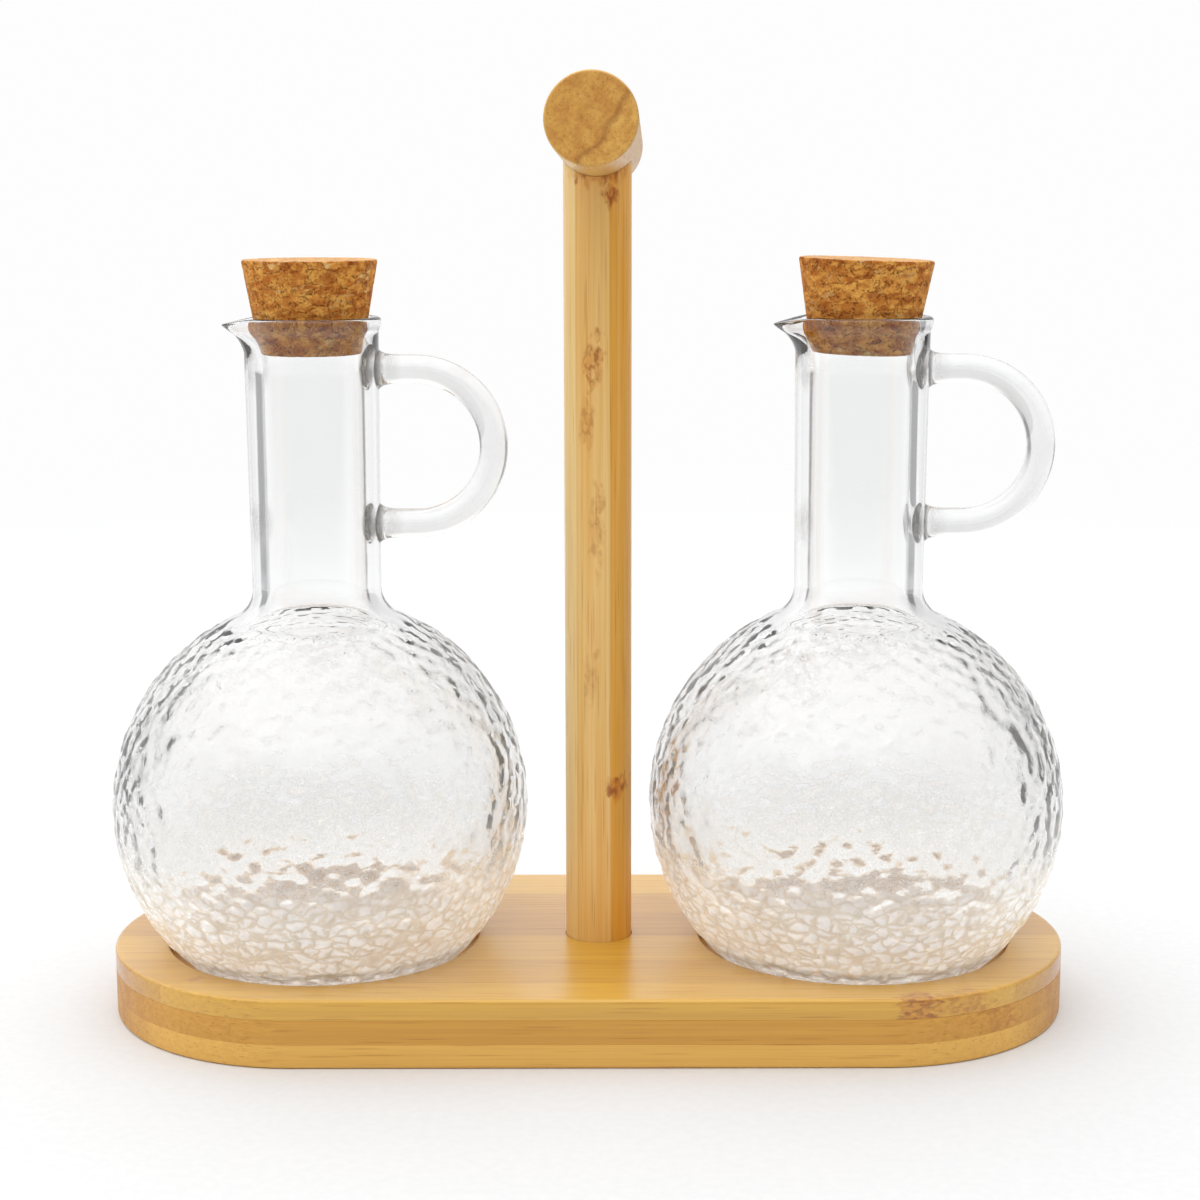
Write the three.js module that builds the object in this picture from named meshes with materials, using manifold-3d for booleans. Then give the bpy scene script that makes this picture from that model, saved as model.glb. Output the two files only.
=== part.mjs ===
// Cruet set: two glass cruets with cork stoppers, standing in round seats in a laminated
// bamboo board that carries a post and a crossbar handle.
// Millimetres, +Z up, origin at the middle of the board's underside.
// +X runs along the board towards the right cruet, -Y is the front.

import * as THREE from 'three';
import { mergeVertices } from 'three/addons/utils/BufferGeometryUtils.js';
import Module from 'manifold-3d';

const wasm = await Module();
wasm.setup();

// Board: three bamboo plies glued face to face, with full-round ends
const BOARD_LENGTH = 240;
const BOARD_WIDTH = 100;
const BOTTOM_PLY = 6;
const CORE_PLY = 6;
const TOP_PLY = 5;

// Seats: round holes through the top ply, floored by the core ply
const SEAT_SPACING = 134.6;
const SEAT_RADIUS = 39.6;
const SEAT_FLOOR = BOTTOM_PLY + CORE_PLY;

// Post: a round rod glued into the board, a little to the right of its middle
const POST_X = 2.6;
const POST_RADIUS = 8.3;
const GLUE_GAP = 0.3;

// Crossbar: a thicker round rod lying front to back on the post's saddle.
// It is turned about the post and rises slightly towards the front.
const BAR_RADIUS = 10.55;
const BAR_LENGTH = 100;
const BAR_HEIGHT = 217.2;
const BAR_TURN = THREE.MathUtils.degToRad(-1.5);
const BAR_RISE = THREE.MathUtils.degToRad(-2.4);
const BAR_CHAMFER = 0.6;

// Dowel pin between post and crossbar, and the blind holes that it is glued into
const DOWEL_RADIUS = 4;
const DOWEL_LENGTH = 30;
const DOWEL_IN_BAR = 12.5;
const DOWEL_CHAMFER = 0.8;
const DOWEL_BOTTOM = BAR_HEIGHT - BAR_RADIUS + DOWEL_IN_BAR - DOWEL_LENGTH;

// Countersunk wood screw, driven up through the bottom ply into the post
const SCREW_LENGTH = 32;
const SCREW_HEAD_RADIUS = 4.2;
const SCREW_HEAD_DEPTH = 2.9;
const SCREW_SHANK_RADIUS = 1.6;
const SCREW_THREAD_RADIUS = 2.2;
const SCREW_PITCH = 3;
const CREST_SHARE = 0.3;
const RIDGE_SHARE = 0.6;
const SCREW_TIP = 4.5;
const SCREW_SUNK = 0.5;
const DRIVE_WIDTH = 1;
const DRIVE_REACH = 4.6;
const DRIVE_DEPTH = 1.9;

// Cruet body and neck. Heights are above the cruet's foot.
const BODY_RADIUS = 52;
const BODY_CENTRE = 39.8;
const BODY_WALL = 3.2;
const FLOOR_THICKNESS = 6.5;
const FLOOR_RADIUS = 26;
const HEEL_HEIGHT = 4;
const NECK_RADIUS_LOW = 15.9;
const NECK_RADIUS_HIGH = 16.5;
const NECK_FILLET = 8;
const BORE_RADIUS = 12.1;
const BORE_FILLET = 11.5;
const CRUET_HEIGHT = 161.6;
const RIM_BEAD = 0.35;
const RIM_ROUND = 1.1;
const BEAD_LENGTH = 4.4;

// Pouring lip, pressed out of the rim on the -X side
const LIP_REACH = 5.3;
const LIP_DROP = 1.7;
const LIP_DEPTH = 9;
const LIP_SPREAD = THREE.MathUtils.degToRad(46);
const LIP_CURVE = 1.6;
const LIP_PINCH = 0.45;

// Handle: a glass rod bent to a D and welded to the neck on the +X side
const ROD_RADIUS = 3.3;
const HANDLE_MIDDLE = 129.8;
const HANDLE_BEND = 19.2;
const HANDLE_STRAIGHT = 25.3;
const WELD_RADIUS = 5;
const WELD_LENGTH = 3.6;
const WELD_TIP_RADIUS = 3.23;

// Cork stopper: a plain taper, held by the matching taper of the mouth
const CORK_TOP_RADIUS = 16.4;
const CORK_FOOT_RADIUS = 12.6;
const CORK_LENGTH = 22.8;
const CORK_DEPTH = 9;
const CORK_CHAMFER = 0.5;
const MOUTH_GAP = 0.4;
const MOUTH_STEP = 2;
const RIGHT_CORK_LEAN = THREE.MathUtils.degToRad(2);

// Number of straight sides on the round pieces. A shape's arc has two sides to a segment.
const SIDES_BODY = 40;
const SIDES_ROUND = 32;
const SIDES_SMALL = 12;
const ARC_STEP = THREE.MathUtils.degToRad(13);
const BOARD_SEGMENTS = 14;
const ROD_SEGMENTS = 5;
const HANDLE_STEPS = 26;

const FINISH = {
  topPly: { color: 0xdcb984, roughness: 0.5 },
  corePly: { color: 0xc6944a, roughness: 0.55 },
  bottomPly: { color: 0xd8a652, roughness: 0.5 },
  post: { color: 0xd2a457, roughness: 0.45 },
  crossbar: { color: 0xbd8c47, roughness: 0.45 },
  dowel: { color: 0xcfae74, roughness: 0.6 },
  screw: { color: 0xb9bcc0, roughness: 0.35, metalness: 1 },
  glass: { color: 0xf2f5f5, roughness: 0.05 },
  cork: { color: 0xae7334, roughness: 0.9 },
};

/** A point of a lathe profile: distance from the axis, then height. */
const at = (radius, height) => new THREE.Vector2(radius, height);

/** Points along an arc from one angle to another, counted from the radius axis. */
function arc(centre, radius, from, to) {
  const steps = Math.max(2, Math.ceil(Math.abs(to - from) / ARC_STEP));
  const points = [];
  for (let i = 0; i <= steps; i += 1) {
    const angle = from + ((to - from) * i) / steps;
    points.push(at(centre.x + radius * Math.cos(angle), centre.y + radius * Math.sin(angle)));
  }
  return points;
}

/** A profile turned about the Z axis. */
function turned(profile, sides) {
  const geometry = new THREE.LatheGeometry(profile, sides);
  geometry.rotateX(Math.PI / 2);
  return geometry;
}

/** A round rod along Z, standing on z = bottom, with chamfered ends. */
function rod(radius, bottom, length, chamfer, sides) {
  const top = bottom + length;
  const profile = [at(0, bottom), at(radius - chamfer, bottom), at(radius, bottom + chamfer)];
  profile.push(at(radius, top - chamfer), at(radius - chamfer, top), at(0, top));
  return turned(profile, sides);
}

/** A plain cylinder along Z. */
function cylinder(radius, bottom, length, sides) {
  const top = bottom + length;
  return turned([at(0, bottom), at(radius, bottom), at(radius, top), at(0, top)], sides);
}

/** The closed solid that a geometry bounds. */
function solid(geometry) {
  const bare = geometry.clone();
  bare.deleteAttribute('normal');
  bare.deleteAttribute('uv');
  const merged = mergeVertices(bare.index ? bare.toNonIndexed() : bare, 1e-4);
  const mesh = new wasm.Mesh({
    numProp: 3,
    vertProperties: new Float32Array(merged.attributes.position.array),
    triVerts: new Uint32Array(merged.index.array),
  });
  return new wasm.Manifold(mesh);
}

/** The geometry of a solid's surface. */
function surface(body) {
  const { vertProperties, triVerts } = body.getMesh();
  const geometry = new THREE.BufferGeometry();
  geometry.setAttribute('position', new THREE.BufferAttribute(vertProperties, 3));
  geometry.setIndex(new THREE.BufferAttribute(triVerts, 1));
  geometry.computeVertexNormals();
  return geometry;
}

/** A geometry with others cut away from it. */
function cut(geometry, ...tools) {
  return surface(tools.reduce((body, tool) => body.subtract(solid(tool)), solid(geometry)));
}

/** A named mesh with a material of its own. */
function piece(name, geometry, finish) {
  const mesh = new THREE.Mesh(geometry, new THREE.MeshStandardMaterial({ metalness: 0, ...finish }));
  mesh.name = name;
  return mesh;
}

/** The board's outline: a rectangle with a half circle at each end. */
function boardOutline() {
  const round = BOARD_WIDTH / 2;
  const straight = BOARD_LENGTH / 2 - round;
  const outline = new THREE.Shape();
  outline.moveTo(-straight, -round);
  outline.lineTo(straight, -round);
  outline.absarc(straight, 0, round, -Math.PI / 2, Math.PI / 2, false);
  outline.lineTo(-straight, round);
  outline.absarc(-straight, 0, round, Math.PI / 2, (3 * Math.PI) / 2, false);
  return outline;
}

/** A round hole for a ply's outline. */
function roundHole(x, radius) {
  const hole = new THREE.Path();
  hole.absarc(x, 0, radius, 0, 2 * Math.PI, true);
  return hole;
}

/** One ply of the board, with its underside at z = 0. */
function ply(thickness, holes) {
  const outline = boardOutline();
  outline.holes.push(...holes);
  return new THREE.ExtrudeGeometry(outline, {
    depth: thickness,
    bevelEnabled: false,
    curveSegments: BOARD_SEGMENTS,
  });
}

/** The post's hole, which the top and core plies share. */
const postHole = () => roundHole(POST_X, POST_RADIUS + GLUE_GAP);

/** The two seats, which the top ply alone has. */
const seatHoles = () => [-1, 1].map((side) => roundHole((side * SEAT_SPACING) / 2, SEAT_RADIUS));

/** The screw's outline, grown outwards by a gap: head down, on the Z axis, tip up. */
function screwProfile(gap, ridges) {
  const neck = SCREW_HEAD_DEPTH;
  const shoulder = SCREW_LENGTH - SCREW_TIP;
  const inner = SCREW_SHANK_RADIUS + gap;
  const outer = SCREW_THREAD_RADIUS + gap;
  const profile = [at(0, 0), at(SCREW_HEAD_RADIUS + gap, 0)];
  if (!ridges) {
    profile.push(at(outer, neck + gap), at(outer, shoulder + gap), at(0, SCREW_LENGTH + gap));
    return profile;
  }
  profile.push(at(inner, neck));
  for (let z = neck + SCREW_PITCH; z + SCREW_PITCH < shoulder; z += SCREW_PITCH) {
    profile.push(at(inner, z), at(outer, z + SCREW_PITCH * CREST_SHARE));
    profile.push(at(inner, z + SCREW_PITCH * RIDGE_SHARE));
  }
  profile.push(at(inner, shoulder), at(0, SCREW_LENGTH));
  return profile;
}

/** The wood screw, with its head down and a cross recess in it. */
function screwGeometry() {
  const slots = [0, Math.PI / 2].map((angle) => {
    const slot = new THREE.BoxGeometry(DRIVE_REACH, DRIVE_WIDTH, 2 * DRIVE_DEPTH);
    slot.rotateZ(angle + Math.PI / 4);
    return slot;
  });
  return cut(turned(screwProfile(0, true), SIDES_SMALL), ...slots);
}

/** The hole that the screw leaves in the wood, from below the board to past its tip. */
function screwHole() {
  const mouth = at(SCREW_HEAD_RADIUS + GLUE_GAP, -1 - SCREW_SUNK);
  const profile = [at(0, mouth.y), mouth, ...screwProfile(GLUE_GAP, false).slice(1)];
  return turned(profile, SIDES_SMALL).translate(0, 0, SCREW_SUNK);
}

/** The crossbar's placing: it lies along Y, turned about Z and raised at the front. */
function placeBar(object) {
  object.position.set(POST_X, 0, BAR_HEIGHT);
  object.rotation.set(BAR_RISE, 0, BAR_TURN, 'ZXY');
  object.updateMatrix();
  return object;
}

/** The crossbar as a rod along Y about the origin, grown outwards by a gap. */
function barRod(gap) {
  const bar = rod(BAR_RADIUS + gap, -BAR_LENGTH / 2, BAR_LENGTH, BAR_CHAMFER, SIDES_ROUND);
  return bar.rotateX(Math.PI / 2);
}

/** The blind dowel hole that post and crossbar share, on the post's axis. */
function dowelHole() {
  const length = DOWEL_LENGTH + 2 * GLUE_GAP;
  return cylinder(DOWEL_RADIUS + GLUE_GAP, DOWEL_BOTTOM - GLUE_GAP, length, SIDES_SMALL);
}

function makeCrossbar() {
  const bar = placeBar(new THREE.Object3D());
  const hole = dowelHole().translate(POST_X, 0, 0).applyMatrix4(bar.matrix.clone().invert());
  return placeBar(piece('crossbar', cut(barRod(0), hole), FINISH.crossbar));
}

function makePost() {
  const bar = placeBar(new THREE.Object3D());
  const saddle = barRod(GLUE_GAP).applyMatrix4(bar.matrix).translate(-POST_X, 0, 0);
  const blank = cylinder(POST_RADIUS, BOTTOM_PLY, BAR_HEIGHT - BOTTOM_PLY, SIDES_ROUND);
  const post = piece('post', cut(blank, saddle, dowelHole(), screwHole()), FINISH.post);
  post.position.x = POST_X;
  return post;
}

function makeBoard() {
  const board = new THREE.Group();
  const lowest = cut(ply(BOTTOM_PLY, []), screwHole().translate(POST_X, 0, 0));
  const bottom = piece('base_bottom_ply', lowest, FINISH.bottomPly);
  const core = piece('base_core_ply', ply(CORE_PLY, [postHole()]), FINISH.corePly);
  const top = piece('base_top_ply', ply(TOP_PLY, [...seatHoles(), postHole()]), FINISH.topPly);
  core.position.z = BOTTOM_PLY;
  top.position.z = BOTTOM_PLY + CORE_PLY;
  board.add(bottom, core, top);
  return board;
}

function makeStand() {
  const dowel = rod(DOWEL_RADIUS, DOWEL_BOTTOM, DOWEL_LENGTH, DOWEL_CHAMFER, SIDES_SMALL);
  const pin = piece('crossbar_dowel', dowel, FINISH.dowel);
  pin.position.x = POST_X;
  const screw = piece('post_screw', screwGeometry(), FINISH.screw);
  screw.position.set(POST_X, 0, SCREW_SUNK);
  const stand = new THREE.Group();
  stand.add(makeBoard(), makePost(), makeCrossbar(), pin, screw);
  return stand;
}

/** The height on a circle's upper or lower half above a distance from the axis. */
const reach = (radius, across) => Math.sqrt(radius * radius - across * across);

/** The fillet between a sphere and the tube that rises from it. */
function fillet(sphereRadius, tubeRadius, round) {
  const across = tubeRadius + round;
  const centre = at(across, BODY_CENTRE + reach(sphereRadius + round, across));
  return { centre, tangent: Math.atan2(centre.y - BODY_CENTRE, across) };
}

/** The neck's outer radius, which widens evenly towards the rim. */
function neckRadius(height) {
  const start = fillet(BODY_RADIUS, NECK_RADIUS_LOW, NECK_FILLET).centre.y;
  const share = (height - start) / (CRUET_HEIGHT - start);
  return NECK_RADIUS_LOW + (NECK_RADIUS_HIGH - NECK_RADIUS_LOW) * share;
}

/** The cork's radius at a height above the cruet's foot. */
function corkRadius(height) {
  const share = (height - (CRUET_HEIGHT - CORK_DEPTH)) / CORK_LENGTH;
  return CORK_FOOT_RADIUS + (CORK_TOP_RADIUS - CORK_FOOT_RADIUS) * share;
}

/** Outside of the cruet, from the middle of its foot up to the rim. */
function outerProfile() {
  const footAngle = -Math.asin(BODY_CENTRE / BODY_RADIUS);
  const { centre, tangent } = fillet(BODY_RADIUS, NECK_RADIUS_LOW, NECK_FILLET);
  const beadFoot = CRUET_HEIGHT - BEAD_LENGTH;
  return [
    at(0, 0),
    ...arc(at(0, BODY_CENTRE), BODY_RADIUS, footAngle, 0),
    ...arc(at(0, BODY_CENTRE), BODY_RADIUS, 0, tangent).slice(1),
    ...arc(centre, NECK_FILLET, Math.PI + tangent, Math.PI).slice(1),
    at(neckRadius(beadFoot), beadFoot),
    at(neckRadius(CRUET_HEIGHT) + RIM_BEAD, CRUET_HEIGHT - 2 * RIM_ROUND),
    at(neckRadius(CRUET_HEIGHT) + RIM_BEAD, CRUET_HEIGHT - RIM_ROUND),
    at(neckRadius(CRUET_HEIGHT) + RIM_BEAD - RIM_ROUND, CRUET_HEIGHT),
  ];
}

/** Inside of the cruet, from the rim down through mouth, bore and body to the floor. */
function innerProfile() {
  const radius = BODY_RADIUS - BODY_WALL;
  const heelAngle = -Math.asin((BODY_CENTRE - FLOOR_THICKNESS - HEEL_HEIGHT) / radius);
  const { centre, tangent } = fillet(radius, BORE_RADIUS, BORE_FILLET);
  const mouthFoot = CRUET_HEIGHT - CORK_DEPTH - MOUTH_STEP;
  return [
    at(corkRadius(CRUET_HEIGHT) + MOUTH_GAP, CRUET_HEIGHT),
    at(corkRadius(mouthFoot) + MOUTH_GAP, mouthFoot),
    at(BORE_RADIUS, mouthFoot - MOUTH_STEP),
    ...arc(centre, BORE_FILLET, Math.PI, Math.PI + tangent),
    ...arc(at(0, BODY_CENTRE), radius, tangent, heelAngle).slice(1),
    at(FLOOR_RADIUS, FLOOR_THICKNESS),
    at(0, FLOOR_THICKNESS),
  ];
}

/** Pushes the rim out and down into a pouring lip on the -X side. */
function pressLip(geometry) {
  const position = geometry.attributes.position;
  const point = new THREE.Vector3();
  for (let i = 0; i < position.count; i += 1) {
    point.fromBufferAttribute(position, i);
    const height = (point.z - CRUET_HEIGHT + LIP_DEPTH) / LIP_DEPTH;
    const off = Math.abs(Math.atan2(point.y, -point.x)) / LIP_SPREAD;
    if (height > 0 && off < 1) {
      const push = height ** LIP_CURVE * Math.cos((off * Math.PI) / 2) ** 2;
      const side = push * LIP_PINCH * point.y;
      position.setXYZ(i, point.x - push * LIP_REACH, point.y - side, point.z - push * LIP_DROP);
    }
  }
  return geometry;
}

function bottleGeometry() {
  return pressLip(turned([...outerProfile(), ...innerProfile()], SIDES_BODY));
}

/** The handle rod's centre line: out from the neck, round a half circle and back. */
class HandlePath extends THREE.Curve {
  getPoint(share, target = new THREE.Vector3()) {
    const bend = Math.PI * HANDLE_BEND;
    const inside = NECK_RADIUS_LOW - ROD_RADIUS;
    const straight = HANDLE_STRAIGHT - inside;
    const along = share * (2 * straight + bend) - straight;
    const angle = Math.PI / 2 - THREE.MathUtils.clamp(along / bend, 0, 1) * Math.PI;
    const back = Math.max(-along, along - bend, 0);
    const x = HANDLE_STRAIGHT - back + HANDLE_BEND * Math.cos(angle);
    return target.set(x, 0, HANDLE_MIDDLE + HANDLE_BEND * Math.sin(angle));
  }
}

/** The flared weld where an arm of the handle meets the neck. */
function weld(height) {
  const start = NECK_RADIUS_LOW - ROD_RADIUS;
  const end = NECK_RADIUS_HIGH + WELD_LENGTH;
  const profile = [at(0, start), at(WELD_RADIUS, start), at(WELD_RADIUS, NECK_RADIUS_HIGH)];
  profile.push(at((WELD_RADIUS + ROD_RADIUS) / 2, NECK_RADIUS_HIGH + WELD_LENGTH / 3));
  profile.push(at(WELD_TIP_RADIUS, end), at(0, end));
  return turned(profile, SIDES_SMALL).rotateY(Math.PI / 2).translate(0, 0, height);
}

function handleGeometry() {
  const section = new THREE.Shape().absarc(0, 0, ROD_RADIUS, 0, 2 * Math.PI, false);
  const path = new HandlePath();
  const bar = new THREE.ExtrudeGeometry(section, {
    steps: HANDLE_STEPS,
    curveSegments: ROD_SEGMENTS,
    extrudePath: path,
    bevelEnabled: false,
  });
  const welds = [-1, 1].map((side) => solid(weld(HANDLE_MIDDLE + side * HANDLE_BEND)));
  const whole = welds.reduce((body, part) => body.add(part), solid(bar));
  const foot = fillet(BODY_RADIUS, NECK_RADIUS_LOW, NECK_FILLET).centre.y;
  const neck = [at(0, foot), at(neckRadius(foot) + GLUE_GAP, foot)];
  neck.push(at(neckRadius(CRUET_HEIGHT) + GLUE_GAP, CRUET_HEIGHT), at(0, CRUET_HEIGHT));
  return surface(whole.subtract(solid(turned(neck, SIDES_BODY))));
}

/** The stopper, with its origin where its axis crosses the middle of its seated length. */
function stopperGeometry() {
  const foot = -CORK_DEPTH / 2;
  const top = foot + CORK_LENGTH;
  return turned([
    at(0, foot),
    at(CORK_FOOT_RADIUS - CORK_CHAMFER, foot),
    at(CORK_FOOT_RADIUS, foot + CORK_CHAMFER),
    at(CORK_TOP_RADIUS, top - CORK_CHAMFER),
    at(CORK_TOP_RADIUS - CORK_CHAMFER, top),
    at(0, top),
  ], SIDES_ROUND);
}

/** One cruet in its seat: bottle, handle and stopper, which may lean in the mouth. */
function makeCruet(side, x, lean) {
  const bottle = piece(`${side}_bottle`, bottleGeometry(), FINISH.glass);
  const handle = piece(`${side}_handle`, handleGeometry(), FINISH.glass);
  const stopper = piece(`${side}_stopper`, stopperGeometry(), FINISH.cork);
  stopper.position.z = CRUET_HEIGHT - CORK_DEPTH / 2;
  stopper.rotation.y = lean;
  const cruet = new THREE.Group();
  cruet.position.set(x, 0, SEAT_FLOOR);
  cruet.add(bottle, handle, stopper);
  return cruet;
}

const cruetSet = new THREE.Group();
cruetSet.add(makeStand());
cruetSet.add(makeCruet('left', -SEAT_SPACING / 2, 0));
cruetSet.add(makeCruet('right', SEAT_SPACING / 2, RIGHT_CORK_LEAN));

export default cruetSet;
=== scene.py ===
"""A cruet set: two hammered-glass cruets with cork stoppers in a bamboo stand.

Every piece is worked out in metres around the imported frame. The origin is the middle of the
board's underside, +X runs along the board, -Y is the front and +Z is up.
"""

import logging
import math
from dataclasses import dataclass
from enum import Enum

import bpy
import numpy as np
from mathutils import Matrix, Vector

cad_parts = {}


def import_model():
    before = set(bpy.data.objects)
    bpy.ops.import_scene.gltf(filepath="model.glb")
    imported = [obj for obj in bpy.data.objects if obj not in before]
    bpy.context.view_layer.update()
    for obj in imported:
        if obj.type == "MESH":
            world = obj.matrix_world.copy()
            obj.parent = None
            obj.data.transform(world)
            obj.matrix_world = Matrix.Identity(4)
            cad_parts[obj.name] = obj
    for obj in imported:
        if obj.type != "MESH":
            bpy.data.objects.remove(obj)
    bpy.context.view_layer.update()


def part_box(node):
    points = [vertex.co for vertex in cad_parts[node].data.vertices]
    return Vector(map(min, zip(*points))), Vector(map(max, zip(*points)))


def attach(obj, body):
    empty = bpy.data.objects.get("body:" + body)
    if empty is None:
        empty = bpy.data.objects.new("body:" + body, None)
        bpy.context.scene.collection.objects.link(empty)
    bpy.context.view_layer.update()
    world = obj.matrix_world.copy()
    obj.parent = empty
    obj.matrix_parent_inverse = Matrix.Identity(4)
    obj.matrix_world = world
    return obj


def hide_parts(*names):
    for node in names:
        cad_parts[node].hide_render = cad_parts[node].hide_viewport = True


LOG = logging.getLogger("cruet_set")
Array = np.ndarray
Colour = tuple[float, float, float, float]
TAU = 2 * math.pi
MM = 0.001
QUARTER = math.pi / 2
WELD = 1e-6
SHARP_ANGLE = math.radians(40)
NO_TURN = (0.0, 0.0, 0.0)


class Side(Enum):
    """The two cruets, by where they stand on the board."""

    LEFT = "left"
    RIGHT = "right"


def srgb(red: int, green: int, blue: int) -> Colour:
    """A display colour as the linear colour that shaders use.

    Args:
        red, green, blue: Channels from 0 to 255.

    Returns:
        Linear red, green and blue, and an alpha of one.
    """
    channels = np.array([red, green, blue]) / 255
    linear = np.where(channels <= 0.04045, channels / 12.92, ((channels + 0.055) / 1.055) ** 2.4)
    return (*(float(c) for c in linear), 1.0)


# ---------------------------------------------------------------- surfaces


def smooth_step(value: Array, low: float, high: float) -> Array:
    """Rises from 0 at low to 1 at high as 3t^2 - 2t^3."""
    t = np.clip((value - low) / (high - low), 0, 1)
    return t * t * (3 - 2 * t)


def arc(centre: tuple[float, float], radius: float, start: float, end: float, count: int) -> Array:
    """Points of an arc in the plane of a profile.

    Args:
        centre: Distance from the axis and height of the arc's centre.
        radius: The arc's radius.
        start, end: Angles from the outward direction, in radians.
        count: Number of steps.

    Returns:
        (count + 1, 2) points: the centre plus the radius times (cos a, sin a).
    """
    angle = np.linspace(start, end, count + 1)
    return np.stack([centre[0] + radius * np.cos(angle), centre[1] + radius * np.sin(angle)], -1)


def line(start: tuple[float, float], end: tuple[float, float], count: int) -> Array:
    """Evenly spaced points from start to end, both included."""
    return np.linspace(start, end, count + 1)


def turned(profile: Array, sides: int) -> Array:
    """A profile turned about the Z axis.

    Args:
        profile: (rows, 2) distances from the axis and heights, running upwards on the outside.
        sides: Number of steps round the axis.

    Returns:
        (rows, sides + 1, 3) points (r cos a, r sin a, z), closed on themselves in a.
    """
    angle = np.linspace(0, TAU, sides + 1)
    radius, height = profile[:, :1], profile[:, 1:]
    return np.stack(
        [radius * np.cos(angle), radius * np.sin(angle), height + 0 * angle], axis=-1
    )


def make_mesh(name: str, patches: list[Array]) -> bpy.types.Object:
    """Joins grids of points into one closed mesh object.

    Points of different grids that lie within a thousandth of a millimetre are welded, so seams
    and poles close. A face that loses a corner that way becomes a triangle, and one that loses
    two is dropped.

    Args:
        name: The object's name.
        patches: (rows, columns, 3) grids whose columns run anticlockwise seen from outside
            when their rows run upwards.

    Returns:
        The object, linked to the scene at the origin.
    """
    corners, start = [], 0
    for patch in patches:
        rows, columns = patch.shape[:2]
        index = start + np.arange(rows * columns).reshape(rows, columns)
        quads = [index[:-1, :-1], index[:-1, 1:], index[1:, 1:], index[1:, :-1]]
        corners.append(np.stack(quads, -1).reshape(-1, 4))
        start += rows * columns
    points = np.concatenate([patch.reshape(-1, 3) for patch in patches])
    off_round_numbers = 0.31
    keys = np.floor(points / WELD + off_round_numbers).astype(np.int64)
    _, first, welded = np.unique(keys, axis=0, return_index=True, return_inverse=True)
    faces = welded.reshape(-1)[np.concatenate(corners)]
    repeated = faces == np.roll(faces, -1, axis=1)
    lost = repeated.sum(axis=1)
    triangles = faces[lost == 1][~repeated[lost == 1]].reshape(-1, 3)
    mesh = bpy.data.meshes.new(name)
    mesh.from_pydata(points[first].tolist(), [], faces[lost == 0].tolist() + triangles.tolist())
    mesh.shade_smooth()
    mesh.set_sharp_from_angle(angle=SHARP_ANGLE)
    mesh.validate()
    thing = bpy.data.objects.new(name, mesh)
    bpy.context.scene.collection.objects.link(thing)
    return thing


@dataclass(frozen=True)
class ValueNoise:
    """Smooth random values in space: one at each corner of a cubic lattice, blended between.

    Attributes:
        cell: Edge of a lattice cube, in metres.
        seed: Seed of the random values.
    """

    cell: float
    seed: int

    def at(self, points: Array) -> Array:
        """The noise, from -1 to 1.

        Args:
            points: (..., 3) points in metres.

        Returns:
            The eight corner values round each point, mixed by 3t^2 - 2t^3 along each axis.
        """
        repeat = 32
        table = np.random.default_rng(self.seed).uniform(-1, 1, (repeat,) * 3)
        scaled = points / self.cell
        base = np.floor(scaled).astype(int)
        t = scaled - base
        t = t * t * (3 - 2 * t)
        total = np.zeros(points.shape[:-1])
        for corner in np.ndindex(2, 2, 2):
            share = np.prod(np.where(np.array(corner) == 1, t, 1 - t), axis=-1)
            i, j, k = np.moveaxis((base + corner) % repeat, -1, 0)
            total += share * table[i, j, k]
        return total


# ---------------------------------------------------------------- shader maths


@dataclass(frozen=True)
class Wire:
    """A value on its way through a material. Arithmetic on it adds Math nodes.

    Attributes:
        graph: The material's nodes.
        socket: The output that the value comes from.
    """

    graph: "Graph"
    socket: bpy.types.NodeSocket | None

    def _math(self, operation: str, *values: "Wire | float") -> "Wire":
        """The result of one Math node."""
        return self.graph.node("Math", {"operation": operation}, dict(enumerate(values)))

    def __add__(self, other: "Wire | float") -> "Wire":
        """self + other."""
        return self._math("ADD", self, other)

    def __radd__(self, other: float) -> "Wire":
        """other + self."""
        return self._math("ADD", other, self)

    def __sub__(self, other: "Wire | float") -> "Wire":
        """self - other."""
        return self._math("SUBTRACT", self, other)

    def __rsub__(self, other: float) -> "Wire":
        """other - self."""
        return self._math("SUBTRACT", other, self)

    def __mul__(self, other: "Wire | float") -> "Wire":
        """self * other."""
        return self._math("MULTIPLY", self, other)

    def __rmul__(self, other: float) -> "Wire":
        """other * self."""
        return self._math("MULTIPLY", other, self)

    def __truediv__(self, other: "Wire | float") -> "Wire":
        """self / other."""
        return self._math("DIVIDE", self, other)

    def __abs__(self) -> "Wire":
        """The distance from zero."""
        return self._math("ABSOLUTE", self)

    def floor(self) -> "Wire":
        """The whole number below."""
        return self._math("FLOOR", self)

    def fract(self) -> "Wire":
        """What is left above the whole number below."""
        return self._math("FRACT", self)

    def most(self, other: "Wire | float") -> "Wire":
        """The larger of two values."""
        return self._math("MAXIMUM", self, other)

    def step(self, low: float, high: float) -> "Wire":
        """Rises smoothly from 0 at low to 1 at high, or falls if low is above high.

        Args:
            low, high: Values at which it is 0 and 1.

        Returns:
            The risen or fallen value.
        """
        settings = {"interpolation_type": "SMOOTHSTEP"}
        ends = {"Value": self, "From Min": low, "From Max": high}
        if low > high:
            ends |= {"From Min": high, "From Max": low, "To Min": 1.0, "To Max": 0.0}
        return self.graph.node("MapRange", settings, ends)


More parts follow.
